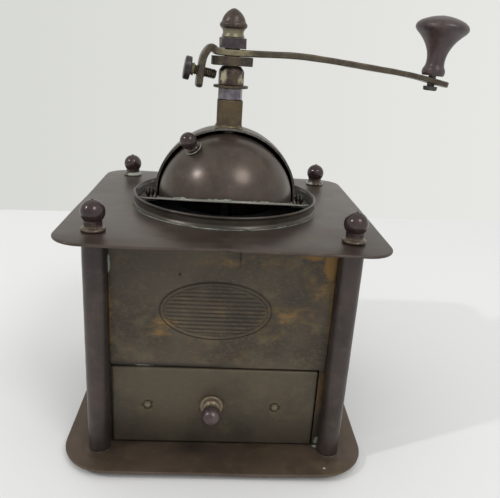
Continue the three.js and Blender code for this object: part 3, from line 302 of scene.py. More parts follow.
# colour written as in a paint box, to the linear values that a shader wants
def tone(code, alpha=1.0):
    value = np.array([int(code[k:k + 2], 16) / 255 for k in (1, 3, 5)])
    linear = np.where(value <= 0.04045, value / 12.92, ((value + 0.055) / 1.055) ** 2.4)
    return (*linear.tolist(), alpha)


# one shader socket, with arithmetic that adds Math nodes
class Wire:
    def __init__(self, tree, socket):
        self.tree, self.socket = tree, socket

    def math(self, operation, first, second):
        node = addNode(self.tree, "ShaderNodeMath", {"operation": operation}, {0: first, 1: second})
        return Wire(self.tree, node.outputs[0])

    def __add__(self, other): return self.math("ADD", self, other)
    __radd__ = __add__
    def __mul__(self, other): return self.math("MULTIPLY", self, other)
    __rmul__ = __mul__
    def __sub__(self, other): return self.math("SUBTRACT", self, other)
    def __rsub__(self, other): return self.math("SUBTRACT", other, self)


def feed(tree, node, key, value):  # links a socket, or else sets the input's own value
    value = value.socket if isinstance(value, Wire) else value
    if isinstance(value, bpy.types.NodeSocket):
        tree.links.new(value, node.inputs[key])
    else:
        node.inputs[key].default_value = value


def addNode(tree, kind, settings=None, values=None):
    node = tree.nodes.new(kind)
    for key, value in (settings or {}).items():
        setattr(node, key, value)
    for key, value in (values or {}).items():
        feed(tree, node, key, value)
    return node


# one material: node() adds any node, and the rest are the few that the finishes share
class Paint:
    def __init__(self, name):
        self.material = bpy.data.materials.new(name)
        self.material.use_nodes = True
        self.tree = self.material.node_tree
        self.shader = self.tree.nodes["Principled BSDF"]
        self.place = self.node("ShaderNodeTexCoord").outputs["Object"]

    def node(self, kind, settings=None, values=None):
        return addNode(self.tree, kind, settings, values)

    def out(self, node, key=0):
        return Wire(self.tree, node.outputs[key])

    def noise(self, size, detail=3.0, rough=0.55, stretch=(1, 1, 1), warp=0.0):  # size in millimetres
        values = {"Scale": 1 / (size * mm), "Detail": detail, "Roughness": rough, "Distortion": warp}
        place = self.node("ShaderNodeMapping", values={"Vector": self.place, "Scale": stretch}).outputs[0]
        return self.out(self.node("ShaderNodeTexNoise", values={"Vector": place, **values}))

    def mark(self, name):
        return self.out(self.node("ShaderNodeAttribute", {"attribute_name": name}), "Fac")

    def step(self, value, low, high):
        values = {"Value": value, "From Min": low, "From Max": high}
        return self.out(self.node("ShaderNodeMapRange", {"interpolation_type": "SMOOTHSTEP"}, values))

    def mix(self, factor, first, second):
        values = {"Factor": factor, 6: first, 7: second}
        return self.out(self.node("ShaderNodeMix", {"data_type": "RGBA"}, values), 2)

    def bump(self, height, depth, onto=None):  # depth in millimetres
        values = {"Height": height, "Distance": depth * mm, "Strength": 1.0}
        if onto is not None:
            values["Normal"] = onto
        return self.out(self.node("ShaderNodeBump", values=values))

    def finish(self, colour, rough, metal, normal, specular=0.5, coat=0.0):
        for key, value in (("Base Color", colour), ("Roughness", rough), ("Metallic", metal), ("Normal", normal)):
            feed(self.tree, self.shader, key, value)
        self.shader.inputs["Specular IOR Level"].default_value = specular
        self.shader.inputs["Coat Weight"].default_value = coat
        self.shader.inputs["Coat Roughness"].default_value = 0.12
        return self.material


# what a look may leave out; sizes in millimetres
plainLook = {"grain": 0.2, "grainStretch": (1, 1, 1), "specks": 0.25, "stain": "#7a5a30", "stainAmount": 0.0,
             "stainFrom": 0.6, "stainSize": 16, "stainStretch": (1, 1, 1.7), "stainPull": 0.13, "halo": "#5c4b33",
             "haloAmount": 0.3, "wear": 0.6, "bare": "#8d7f66", "rubbedAndPaintedLight": "#80755a", "rubAndLightAmount": 0.85,
             "groove": 0.45, "crust": "#a4aaa0", "brush": (1, 1, 9), "dents": 14, "dentDepth": 0.25,
             "scratchDepth": 0.02, "pitDepth": 0.035, "roughSpread": 0.3, "specular": 0.5}


# patinated brass: mottled tones, two depths of stain, brass where it is rubbed and pale painted light where a piece
# marks it, dark hollows, dark soot and painted shade, pale crust
def agedBrass(name, look):
    p, look = Paint(name), {**plainLook, **look}
    cloud, grime, speck = p.noise(look["mottle"]), p.noise(look["mottle"] * 0.28, 5, 0.65), p.noise(0.55, 3, 0.6)
    colour = p.mix(p.step(cloud, 0.36, 0.64), tone(look["deep"]), tone(look["base"]))
    colour = p.mix(p.step(grime, 0.48, 0.74) * 0.6, colour, tone(look["light"]))
    grain = p.noise(1.7, 5, 0.7, look["grainStretch"])
    colour = p.mix(p.step(grain, 0.5, 0.72) * look["grain"], colour, tone(look["light"]))
    colour = p.mix(p.step(speck, 0.52, 0.72) * look["specks"], colour, tone(look["deep"]))
    blot = p.noise(look["stainSize"], 7, 0.68, look["stainStretch"], 0.35)
    blot = blot * 0.75 + grime * 0.25 + p.mark("stained") * look["stainPull"]
    stainFrom = look["stainFrom"]
    halo = p.step(blot, stainFrom - 0.09, stainFrom + 0.04) * look["haloAmount"]
    stainMask = p.step(blot, stainFrom, stainFrom + 0.13) * look["stainAmount"]
    colour = p.mix(halo, colour, tone(look["halo"]))
    colour = p.mix(stainMask, colour, tone(look["stain"]))
    rub = p.noise(2.4, 4, 0.7)
    wornMask = p.mark("worn") * p.step(rub, 0.3, 0.62) * look["wear"]
    colour = p.mix(wornMask, colour, tone(look["bare"]))
    # pale tone where the brass is rubbed, and on some pieces painted light: the pale inside of the hopper and the
    # highlight on the rear dome's edge
    rubbedAndLightMask = p.step(p.mark("rubbedAndPaintedLight") + (rub - 0.5) * 0.8 + (grime - 0.5) * 0.5, 0.3, 0.75)
    colour = p.mix(rubbedAndLightMask * look["rubAndLightAmount"], colour, tone(look["rubbedAndPaintedLight"]))
    colour = p.mix(p.mark("hollow") * look["groove"], colour, tone("#231e1a"))
    # dark soot, and painted shade where a piece marks it, as along the front panel's lower edge
    colour = p.mix(p.mark("sootAndShade") * 0.85, colour, tone("#1d1916"))
    patch = p.step(p.noise(8, 3, 0.6), 0.36, 0.6)
    crustMask = p.step(p.mark("crust") * (patch * 0.6 + 0.4) + (rub - 0.5) * 0.7, 0.5, 0.8)
    colour = p.mix(crustMask * 0.9, colour, tone(look["crust"]))
    scratch = p.noise(1.1, 2, 0.5, look["brush"], 0.1)
    rough = look["rough"] + (grime - 0.5) * look["roughSpread"] + crustMask * 0.35 - wornMask * 0.08
    rough = rough + (scratch - 0.5) * 0.1 + stainMask * 0.15 + p.mark("sootAndShade") * 0.2
    metal = look["metal"] - crustMask * look["metal"] - stainMask * 0.3
    normal = p.bump(p.noise(look["dents"], 2, 0.5), look["dentDepth"])
    normal = p.bump(scratch, look["scratchDepth"], normal)
    normal = p.bump(grime + crustMask * 3, look["pitDepth"], normal)
    return p.finish(colour, rough, metal, normal, look["specular"])


# bare iron and steel inside the mill
def darkIron(name, look):
    p = Paint(name)
    grime, fine = p.noise(6, 5, 0.6), p.noise(0.8, 3, 0.6)
    colour = p.mix(p.step(grime, 0.4, 0.65), tone(look["base"]), tone(look["deep"]))
    rust = p.step(p.noise(11, 6, 0.7), 0.58, 0.7) * look["rust"]
    colour = p.mix(rust, colour, tone("#5b3a26"))
    colour = p.mix(p.mark("worn") * 0.6, colour, tone(look["bare"]))
    rough = look["rough"] + (grime - 0.5) * 0.3 + rust * 0.25
    return p.finish(colour, rough, 0.85 - rust * 0.6, p.bump(fine + grime, 0.05), 0.5)


print("tools ready")

# finishes; sizes in millimetres
# the top sheet's rubbed tone is the pale painted light on the sheet inside the hopper's mouth
sheetLook = {"base": "#4f443e", "deep": "#423731", "light": "#5b4e46", "mottle": 46, "rough": 0.34, "metal": 0.5,
             "wear": 0.4, "bare": "#6f6258", "dents": 30, "dentDepth": 0.5, "brush": (9, 1, 1), "groove": 0.2,
             "stainAmount": 0.2, "stain": "#59483a", "stainSize": 30, "scratchDepth": 0.012, "specular": 0.6,
             "rubbedAndPaintedLight": "#868d91", "rubAndLightAmount": 0.9, "roughSpread": 0.2}
baseLook = {**sheetLook, "base": "#5b4d42", "deep": "#4a3e34", "light": "#68594a", "rough": 0.46, "specular": 0.4,
            "metal": 0.4, "stain": "#67532f", "stainAmount": 0.45, "halo": "#5d4f35", "stainFrom": 0.58}
panelLook = {"base": "#50483d", "deep": "#403930", "light": "#665c49", "mottle": 30, "rough": 0.47, "metal": 0.4,
             "wear": 0.6, "bare": "#7c6a47", "dents": 24, "dentDepth": 0.35, "brush": (1, 1, 7), "groove": 0.8,
             "stain": "#7f6238", "stainAmount": 0.65, "halo": "#615136", "haloAmount": 0.5, "stainSize": 12,
             "stainFrom": 0.64, "specular": 0.4, "stainStretch": (1, 1, 1.9), "stainPull": 0.16, "rubbedAndPaintedLight": "#80602f",
             "rubAndLightAmount": 0.8, "grain": 0.6, "specks": 0.5, "grainStretch": (1, 1, 1.6)}
drawerLook = {**panelLook, "base": "#544c3f", "deep": "#4a4338", "light": "#605746", "stainAmount": 0.2,
              "haloAmount": 0.35, "rubbedAndPaintedLight": "#6d6240", "rubAndLightAmount": 0.5, "groove": 0.5}
wallLook = {**panelLook, "stainAmount": 0.5, "stainSize": 20, "rubbedAndPaintedLight": "#6f5532"}
pillarLook = {"base": "#453c39", "deep": "#37302e", "light": "#544843", "mottle": 26, "rough": 0.35, "metal": 0.5,
              "wear": 0.4, "dents": 18, "dentDepth": 0.2, "brush": (6, 6, 1), "stainAmount": 0.2, "stain": "#54402f",
              "halo": "#4c4032"}
ballLook = {"base": "#473b3a", "deep": "#382e2f", "light": "#544746", "mottle": 7, "rough": 0.2, "metal": 0.5,
            "wear": 0.3, "bare": "#7c7058", "dents": 6, "dentDepth": 0.05, "brush": (1, 1, 1), "pitDepth": 0.008,
            "scratchDepth": 0.004, "roughSpread": 0.12, "specular": 0.55, "rubbedAndPaintedLight": "#62564a"}
knobLook = {**ballLook, "base": "#5a4e4e", "deep": "#483c3e", "light": "#6b5f5e", "rough": 0.33, "rubbedAndPaintedLight": "#82745f"}
acornLook = {**ballLook, "base": "#4a3d36", "deep": "#3a302b", "light": "#6d5c50", "mottle": 4, "rough": 0.38,
             "rubbedAndPaintedLight": "#7d7761", "rubAndLightAmount": 0.75, "wear": 1.0, "bare": "#8a7d66", "scratchDepth": 0.04,
             "pitDepth": 0.06, "groove": 0.7}
screwLook = {**ballLook, "base": "#3b3438", "deep": "#2c272b", "light": "#4b4245", "rough": 0.36, "rubbedAndPaintedLight": "#8f866a",
             "wear": 0.6, "bare": "#7f776c"}
# the dome's rubbed tone also paints the highlight on the rear dome's edge, and through ringLook the pale painted
# light inside the collar
domeLook = {"base": "#50463f", "deep": "#443a35", "light": "#5d5047", "mottle": 22, "rough": 0.3, "metal": 0.5,
            "wear": 0.6, "bare": "#8b8478", "dents": 16, "dentDepth": 0.12, "brush": (1, 5, 5), "pitDepth": 0.012,
            "scratchDepth": 0.006, "roughSpread": 0.16, "stainAmount": 0.35, "stain": "#4d4234", "stainSize": 14,
            "specular": 0.55, "crust": "#a3aca2", "groove": 0.3, "rubbedAndPaintedLight": "#85827b"}
ringLook = {**domeLook, "base": "#453e38", "deep": "#37312c", "light": "#544b41", "rough": 0.33, "wear": 1.0,
            "bare": "#a3a29b", "brush": (7, 7, 1), "scratchDepth": 0.02}
postLook = {"base": "#5b4d37", "deep": "#463c33", "light": "#766849", "mottle": 8, "rough": 0.45, "metal": 0.6,
            "wear": 0.7, "bare": "#8f8468", "dents": 8, "dentDepth": 0.12, "brush": (6, 6, 1), "groove": 0.5,
            "stainAmount": 0.55, "stain": "#4b4047", "halo": "#4b4038", "stainSize": 6, "stainFrom": 0.56,
            "rubbedAndPaintedLight": "#8c835c"}
workLook = {**postLook, "base": "#53483b", "deep": "#3a3230", "light": "#6d624b", "mottle": 6, "rough": 0.42,
            "stainAmount": 0.6, "stain": "#8a8266", "halo": "#3c3533", "stainSize": 7, "stainFrom": 0.58,
            "rubbedAndPaintedLight": "#787062"}
hexLook = {**workLook, "base": "#55473a", "deep": "#382d2b", "stain": "#b0a88c", "stainAmount": 0.85, "stainSize": 8,
           "stainFrom": 0.53, "stainStretch": (1, 1, 0.8), "wear": 0.9, "bare": "#958b70"}
lockLook = {**workLook, "base": "#4b4245", "deep": "#3c3438", "light": "#5a5050", "stain": "#6f6657",
            "stainAmount": 0.4, "rough": 0.45}
armLook = {**postLook, "base": "#585042", "deep": "#443c35", "light": "#6f664f", "mottle": 12, "rough": 0.38,
           "stainAmount": 0.4, "stain": "#7f7a64", "stainSize": 10, "rubbedAndPaintedLight": "#857d62", "wear": 0.55}
steelLook = {"base": "#7d7780", "deep": "#5f5a62", "light": "#948e96", "mottle": 5, "rough": 0.32, "metal": 0.9,
             "wear": 0.5, "bare": "#a7a2a8", "dents": 6, "dentDepth": 0.05, "crust": "#6c6258", "groove": 0.3,
             "stainAmount": 0.6, "stain": "#6a5f52", "stainSize": 6, "stainFrom": 0.55}
brassLook = {**postLook, "base": "#857b60", "deep": "#665c46", "light": "#9a9074", "stainAmount": 0.4}
solderLook = {"base": "#9aa196", "deep": "#737970", "light": "#b0b8ac", "mottle": 3, "rough": 0.6, "metal": 0.3,
              "wear": 0.2, "bare": "#c0c6bb", "dents": 2, "dentDepth": 0.1, "pitDepth": 0.1, "groove": 0.2,
              "stainAmount": 0.8, "stain": "#4f4a3f", "stainSize": 6, "stainFrom": 0.54}
darkSolderLook = {**solderLook, "base": "#4d4a40", "deep": "#37342e", "light": "#66655a", "bare": "#8a8c80"}
sheetPaint = agedBrass("topSheetPatina", sheetLook)
basePaint = agedBrass("baseSheetPatina", baseLook)
drawerPaint = agedBrass("drawerPatina", drawerLook)
panelPaint = agedBrass("panelPatina", panelLook)
wallPaint = agedBrass("wallPatina", wallLook)
pillarPaint = agedBrass("pillarPatina", pillarLook)
ballPaint = agedBrass("handledBallPatina", ballLook)
domePaint = agedBrass("hopperPatina", domeLook)
postPaint = agedBrass("postBrass", postLook)
workPaint = agedBrass("headBrass", workLook)
armPaint = agedBrass("crankBrass", armLook)
steelPaint = agedBrass("scuffedSteel", steelLook)
brassPaint = agedBrass("tarnishedBrass", brassLook)
solderPaint = agedBrass("oldSolder", solderLook)
darkSolderPaint = agedBrass("dullSolder", darkSolderLook)
knobPaint = agedBrass("drawerKnobPatina", knobLook)
acornPaint = agedBrass("acornPatina", acornLook)
screwPaint = agedBrass("thumbScrewPatina", screwLook)
ringPaint = agedBrass("hopperRingPatina", ringLook)
hexPaint = agedBrass("adjusterBrass", hexLook)
lockPaint = agedBrass("lockNutPatina", lockLook)
ironLook = {"base": "#5a5855", "deep": "#3e3c3a", "bare": "#8c8a86", "rough": 0.45, "rust": 0.5}
ironPaint = darkIron("millIron", ironLook)


# smooth dark stained wood, with rings about the grip's axis and a worn waxed face
def gripWood(name):
    p = Paint(name)
    grain = p.noise(3.0, 5, 0.65, (1, 1, 0.22), 0.5)
    cloud = p.noise(12, 3)
    colour = p.mix(p.step(grain, 0.35, 0.7), tone("#33272a"), tone("#463633"))
    colour = p.mix(p.step(cloud, 0.45, 0.7) * 0.6, colour, tone("#5a4740"))
    colour = p.mix(p.mark("worn") * 0.5, colour, tone("#6a574b"))
    rough = 0.42 + (grain - 0.5) * 0.25 + (cloud - 0.5) * 0.15
    return p.finish(colour, rough, 0.0, p.bump(grain, 0.06), 0.5, 0.1)


gripPaint = gripWood("gripWood")
print("finishes ready")

# top plate: from the hopper's mouth out to a border that droops along a wavy line
topPlate = {"half": 75.4, "corner": 14, "droop": 0.5, "border": 10, "mouth": 25, "thickness": 1.2, "edge": 0.45,
            "ripple": 0.22}
# where the border hangs: centre x, y, spread x, y and depth
topSags = [(-42, -76, 22, 8, 0.45), (66, -68, 12, 9, 0.3), (0, 76, 40, 9, 0.3), (-74, 10, 9, 30, 0.3)]
topNick = {"x": 0.6, "width": 1.6, "rise": 0.7}
collarSeam = 49.55  # radius of the solder round the hopper's collar


# rows run from the mouth over the top to the edge and back below; height = droop by the inset + sags
def plateSheet(size, sags, extra, seed):
    outline, normal = roundedOutline(size["half"], size["half"], size["corner"])
    edge, bend = size["edge"], np.radians([30, 60, 90])
    droops = np.linspace(size["border"], edge, 12)
    inset = np.concatenate([droops, edge * (1 - np.sin(bend))])
    inner = outline - normal * size["border"]
    start = inner / np.linalg.norm(inner, axis=1)[:, None] * size["mouth"]
    flat = start + (inner - start) * np.linspace(0, 1, 22)[:-1, None, None]
    over = np.concatenate([flat, outline - normal * inset[:, None, None]])
    drop = np.concatenate([np.zeros(len(flat) + len(droops)), -edge * (1 - np.cos(bend))])
    depth = np.concatenate([np.zeros(len(flat)), 1 - np.clip(inset / size["border"], 0, 1)])
    fall = -size["droop"] * (1 - np.cos(depth * np.pi / 2))
    height = fall[:, None] + extra(over, depth[:, None])
    for x, y, wide, deep, sag in sags:
        height = height - sag * bell(over[..., 0], x, wide) * bell(over[..., 1], y, deep)
    height = height + size["ripple"] * ripple(over, 46, seed) * smoothStep(fromAxis(over), 52, 70)
    top = np.concatenate([over, (height + drop[:, None])[..., None]], -1)
    below = np.concatenate([over, (height - size["thickness"] - drop[:, None])[..., None]], -1)[::-1]
    points = np.concatenate([top, below])
    return points, gridFaces(len(points), len(outline), size["mouth"] > 0, True)


def topNickHeight(over, depth):
    return topNick["rise"] * bell(over[..., 0], topNick["x"], topNick["width"]) * depth**3 * (over[..., 1] < 0)


def nearPillars(points, radius):
    return fadeOut(fromAxis(np.abs(points[:, :2]) - pillarPitch), radius, radius + 2.2)


def topCrust(points):
    rearLeft = (points[:, 0] < 0) & (points[:, 1] > 0)
    ring = 0.5 * fadeOut(np.abs(fromAxis(points) - collarSeam - 0.05), 0.2, 1.0)
    return np.maximum(ring, (0.3 + 0.5 * rearLeft) * nearPillars(points, 5.3))


def topSoot(points):  # darker towards the right of the front edge
    return softSpots(points, ((62, -52, 24, 30, 0.22),), fromAbove)


def mouthPaintedLight(points):  # painted light: the sheet inside the hopper is painted pale, standing in for light that the lid and collar keep out
    return fadeOut(fromAxis(points), 46.6, 47.4)


part = turnPart(plateSheet(topPlate, topSags, topNickHeight, 3), move=(0, 0, plateLevel))
makePiece("topPlateSheet", part, "root", sheetPaint, "top_plate",
          {"crust": topCrust, "rubbedAndPaintedLight": mouthPaintedLight, "sootAndShade": topSoot})

# base plate: whole sheet, dished a little round each pillar's foot
basePlate = {"half": 76.5, "corner": 24, "droop": 0.7, "border": 9, "mouth": 0, "thickness": 1.2, "edge": 0.45,
             "ripple": 0.25}
baseSags = [(30, -76, 30, 8, 0.5), (-40, 76, 30, 8, 0.4)]


def pillarDish(over, depth):
    return -0.25 * bell(fromAxis(np.abs(over) - pillarPitch), 7.6, 1.1) + 0 * depth


def baseCrust(points):
    gap = np.abs(np.maximum(np.abs(points[:, 0]) - 54, np.abs(points[:, 1]) - 55))  # from the foot of the walls
    specks = softSpots(points, ((52.5, -56, 2.2, 3.0, 1.0), (55, -72, 1.2, 1.2, 0.95), (-44, -70, 0.9, 0.9, 0.95),
                                (-20, -68, 0.8, 0.8, 0.95)), fromAbove)
    return np.maximum.reduce([0.25 * nearPillars(points, 5.4), 0.55 * fadeOut(gap, 0.2, 1.2), specks])


def baseSoot(points):  # dark smudge in front of the drawer, left of its middle
    return softSpots(points, ((-11, -59, 10, 5, 0.85),), fromAbove)


part = turnPart(plateSheet(basePlate, baseSags, pillarDish, 5), move=(0, 0, baseLevel))
makePiece("basePlateSheet", part, "root", basePaint, "base_plate",
          {"crust": baseCrust, "sootAndShade": baseSoot})
print("plates made")

# pillars, their feet and the ball finials
pillar = {"radius": 5.5, "wall": 1.2, "uneven": 0.05, "rounding": 0.3}
finial = {"foot": 5.5, "footHeight": 1.3, "neck": 4.1, "ball": 5.5, "centre": 8.4, "nub": 1.0}
foot = {"radius": 5.0, "height": 4.3, "shank": 2.0, "shankTop": 5.2, "seam": 5.6}


def finialProfile(size):
    low = -math.degrees(math.acos(size["neck"] / size["ball"]))
    base = softened([[0, 0], [size["foot"], 0], [size["foot"] + 0.1, size["footHeight"] * 0.75],
                     [size["foot"] - 1.1, size["footHeight"] + 0.5], [size["neck"] - 0.05, size["footHeight"] + 0.7],
                     [size["neck"], size["centre"] + size["ball"] * math.sin(math.radians(low)) - 0.05]], 0.5, 6)
    ball = arc(size["ball"], size["centre"], low, 80, 40)
    nub = softened([ball[-1], [0.55, ball[-1][1] + 0.12], [0.3, ball[-1][1] + size["nub"] * 0.55],
                    [0, ball[-1][1] + size["nub"] * 0.7]], 0.3, 4)
    return np.vstack([base, ball, nub[1:]])


def footMark(level, reach=1.6, amount=0.85):
    return lambda points: amount * fadeOut(points[:, 2], level + 0.2, level + reach)


corners = {"front_left": (-1, -1), "front_right": (1, -1), "rear_left": (-1, 1), "rear_right": (1, 1)}
rearFinial = {**finial, "ball": 5.25, "centre": 7.2}
footPale = {"front_left": 0.3, "front_right": 0.3, "rear_left": 1.6, "rear_right": 1.1}  # verdigris on each finial
for index, (corner, (signX, signY)) in enumerate(corners.items()):
    place = np.array([signX * pillarPitch, signY * pillarPitch, 0.0])
    low, high = nodeBox("pillar_" + corner)
    tall, bore = high[2] - low[2], pillar["radius"] - pillar["wall"]
    profile = softened([[bore, 0], [pillar["radius"], 0], [pillar["radius"], tall], [bore, tall]],
                       pillar["rounding"], 5, True)
    part = ringLathe(profile, 3, 64, pillar["uneven"], 20 + index)
    makePiece("pillarTube_" + corner, turnPart(part, move=place + [0, 0, low[2]]), "root",
              pillarPaint, "pillar_" + corner, {"crust": footMark(low[2], 1.2, 0.5)})
    low, high = nodeBox("finial_" + corner)
    size = rearFinial if signY > 0 else finial
    part = lathe(evenly(finialProfile(size), 0.5), 64, False, 0.04, 30 + index)
    makePiece("finialBall_" + corner, turnPart(part, aboutZ(index), place + [0, 0, low[2]]), "root",
              ballPaint, "finial_" + corner, {"crust": footMark(low[2], 3.4 if signY > 0 else 1.6, footPale[corner]),
                                              "rubbedAndPaintedLight": footMark(low[2] + 1.6, 3.6, 0.8)})
    wide, high, shank, shankTop = foot["radius"], foot["height"], foot["shank"], plateLevel + foot["shankTop"]
    profile = softened([[0, 0], [wide, 0], [wide, high], [shank, high], [shank, shankTop], [0, shankTop]],
                       [0.9, 0.5, 0.1, 0.3], 6)
    makePiece("footBolt_" + corner, turnPart(lathe(profile, 40), move=place), "root", brassPaint,
              "tie_bolt_" + corner)
    path = place + circled(foot["seam"], np.linspace(0, 2 * np.pi, 60, endpoint=False), baseLevel + 0.02)
    makePiece("pillarSeam_" + corner, solderBead(path, 0.18, 0.14, 5, 40 + index, 0.06, 0.4), "root",
              darkSolderPaint)
print("pillars and finials made")


# sheet bent along a path in plan and standing from low to high; its ends are closed by strips
def foldedSheet(path, thickness, low, high, seed, bulge=0.25, rows=60):
    path = evenly(softened(path, 0.9, 6), 2.2)
    ahead = np.gradient(path, axis=0)
    normal = np.stack([ahead[:, 1], -ahead[:, 0]], -1)
    normal /= np.linalg.norm(normal, axis=1)[:, None]
    loop = np.vstack([path, (path - normal * thickness)[::-1]])
    height = np.linspace(low, high, rows)[:, None]
    stand = lambda line: np.stack([line[:, 0] + 0 * height, line[:, 1] + 0 * height, height + 0 * line[:, 0]], -1)
    points = stand(loop)
    swell = bulge * np.sin(np.pi * (height - low) / (high - low))
    swell = swell * ripple(stand(np.vstack([path, path[::-1]])), 55, seed)
    points[..., :2] += swell[..., None] * np.vstack([normal, normal[::-1]])
    count, last = len(path), (rows - 1) * len(loop)
    i = np.arange(count - 1)
    cap = np.stack([i, i + 1, 2 * count - 2 - i, 2 * count - 1 - i], -1)
    return points, np.vstack([gridFaces(rows, len(loop), False, True), cap[:, ::-1], cap + last])


# box walls: two channels at the sides and a flat rear sheet
walls = {"half": 54.8, "front": -53.8, "rear": 52.6, "rearFlange": 7, "thickness": 1.0,
         "strip": {"left": 1.9, "right": 4.0}}
wallLow, wallHigh = nodeLevels("side_wall_left")


def wallCrust(points):
    pale = softSpots(points, ((-54, wallHigh - 6, 4, 16, 0.85), (54, wallHigh - 1, 4, 3, 0.9),
                              (54, wallLow + 2, 4, 5, 0.9)))
    return np.maximum(0.5 * fadeOut(points[:, 2], wallLow + 0.2, wallLow + 2.0),
                      pale * fadeOut(points[:, 1], walls["front"], walls["front"] + 1.6))


def wallRust(points):  # ochre on the narrow front strips
    ochre = softSpots(points, ((-54, 78, 5, 40, 0.45), (53, 40, 6, 18, 0.7), (54, 105, 5, 22, 0.6)))
    return ochre * fadeOut(points[:, 1], walls["front"] + 1.0, walls["front"] + 3)


for name, side in (("left", -1), ("right", 1)):
    channel = [[walls["half"] - walls["strip"][name], walls["front"]], [walls["half"], walls["front"]],
               [walls["half"], walls["rear"]], [walls["half"] - walls["rearFlange"], walls["rear"]]]
    part = turnPart(foldedSheet(channel, walls["thickness"], wallLow, wallHigh, 50 + side), np.diag([side, 1, 1]))
    makePiece("boxWall_" + name, part, "root", wallPaint, "side_wall_" + name,
              {"crust": wallCrust, "rubbedAndPaintedLight": wallRust})
rearLow, rearHigh = nodeBox("rear_wall")
part = foldedSheet([[rearHigh[0], rearHigh[1]], [rearLow[0], rearHigh[1]]], 1.0, rearLow[2], rearHigh[2], 55, 0.12)
makePiece("boxWall_rear", part, "root", wallPaint, "rear_wall", {"crust": wallCrust})
print("walls made")

# front panel: flat sheet with a raised oval rim and plain bars inside it
panel = {"half": 53.3, "face": -55.0, "thickness": 1.0, "edge": 0.4, "ovalX": -2.7, "ovalZ": 75.8, "halfWidth": 26.5,
         "halfHeight": 14.8, "rim": 1.3, "rimHeight": 0.35, "bars": 13, "barHeight": 0.5, "bow": 0.2,
         "crack": (7.6, 104), "pit": (-20, 100.2)}
barPitch = 2 * panel["halfHeight"] / (panel["bars"] + 1)


def barWave(dz):  # 1 on the ridge of a bar and 0 in the hollow between two
    return 0.5 + 0.5 * np.cos(2 * np.pi * dz / barPitch)


# relief = rim bump + bars inside + one long shallow bow; distance from the oval by its gradient
def panelRelief(x, z):
    dx, dz = x - panel["ovalX"], z - (baseLevel + panel["ovalZ"])
    a, b = panel["halfWidth"], panel["halfHeight"]
    q = np.maximum(np.hypot(dx / a, dz / b), 1e-3)
    distance = (q - 1) * q / np.hypot(dx / a**2, dz / b**2).clip(1e-4)
    rim = panel["rimHeight"] * np.exp(-(((distance + panel["rim"] / 2) / (panel["rim"] * 0.42)) ** 4))
    groove = 0.32 * bell(distance, 0.35, 0.45) + 0.15 * bell(distance, -2.0, 0.5)
    spot = np.stack([x + 0 * z, z + 0 * x], -1)
    bars = smoothStep(-distance, 1.7, 2.6) * panel["barHeight"] * barWave(dz) ** 0.8
    bars *= 0.72 + 0.28 * ripple(spot, 16, 61)
    crack = 0.3 * bell(x, panel["crack"][0], 0.35) * smoothStep(z, panel["crack"][1], panel["crack"][1] + 3)
    pit = 0.35 * bell(x, panel["pit"][0], 0.7) * bell(z, panel["pit"][1], 0.7)
    return rim - groove + bars - crack - pit + panel["bow"] * ripple(spot, 60, 62)


def spaced(*stretches):  # coordinates from stretches of (from, to, step)
    return np.unique(np.round(np.concatenate([np.arange(a, b + 1e-6, s) for a, b, s in stretches]), 4))


panelLow, panelHigh = nodeBox("front_panel")
x = spaced((-53.3, -52.7, 0.15), (-52.7, -30.3, 1.4), (-30.3, 24.9, 0.24), (24.9, 52.7, 1.39), (52.7, 53.3, 0.15))
z = spaced((panelLow[2], panelLow[2] + 0.6, 0.15), (panelLow[2] + 0.6, 65.6, 1.2), (65.6, 101.6, 0.2),
           (101.6, panelHigh[2] - 0.5, 0.8), (panelHigh[2] - 0.5, panelHigh[2], 0.25))
gridX, gridZ = np.meshgrid(x, z)
rimDistance = np.minimum.reduce([gridX - x[0], x[-1] - gridX, gridZ - z[0], z[-1] - gridZ])
rounding = panel["edge"] * (1 - np.sqrt(1 - np.clip(1 - rimDistance / panel["edge"], 0, 1) ** 2))
front = np.stack([gridX, panel["face"] - panelRelief(gridX, gridZ) + rounding, gridZ], -1)


# closes a front surface into a slab: its border goes straight back and a flat face ends it
def slab(surface, back):
    rows, columns = surface.shape[:2]
    faces = gridFaces(rows, columns)
    index = np.arange(rows * columns).reshape(rows, columns)
    border = np.concatenate([index[0], index[1:, -1], index[-1, -2::-1], index[-2:0:-1, 0]])
    points = surface.reshape(-1, 3)
    rim = points[border].copy()
    rim[:, 1] = back
    count = len(border)
    i = np.arange(count)
    wall = np.stack([border, border[(i + 1) % count], rows * columns + (i + 1) % count, rows * columns + i], -1)
    return np.vstack([points, rim]), np.vstack([faces, wall])


def panelCrust(points):
    edge = fadeOut(panel["half"] - np.abs(points[:, 0]), 0.8, 2.6)
    low = fadeOut(points[:, 2] - panelLow[2], 0.1, 1.0)
    return np.maximum(edge * softSpots(points, ((-53, 106, 6, 12, 0.95), (52, 111.5, 5, 3, 1.2))),
                      low * softSpots(points, ((-38, panelLow[2], 9, 9, 0.9), (50, panelLow[2], 6, 9, 0.45))))


def panelStains(points):  # where the ochre gathers: right of the oval, low on its left, above it and in a corner
    return softSpots(points, ((34, 80, 18, 9, 1.15), (44, 96, 12, 14, 0.8), (-29, 71, 8, 9, 1.3),
                              (8, 107, 24, 4, 1.0), (18, 64, 30, 8, 0.5), (-6, 62, 18, 8, 0.35)))


def barShare(points):  # whether inside the oval's rim, and how far up a bar
    dx, dz = points[:, 0] - panel["ovalX"], points[:, 2] - (baseLevel + panel["ovalZ"])
    inside = fadeOut(np.hypot(dx / (panel["halfWidth"] - 2.4), dz / (panel["halfHeight"] - 2.4)), 0.97, 1.0)
    return inside, barWave(dz) * (0.8 + 0.2 * ripple(np.stack([dx, dz], -1), 7, 63))


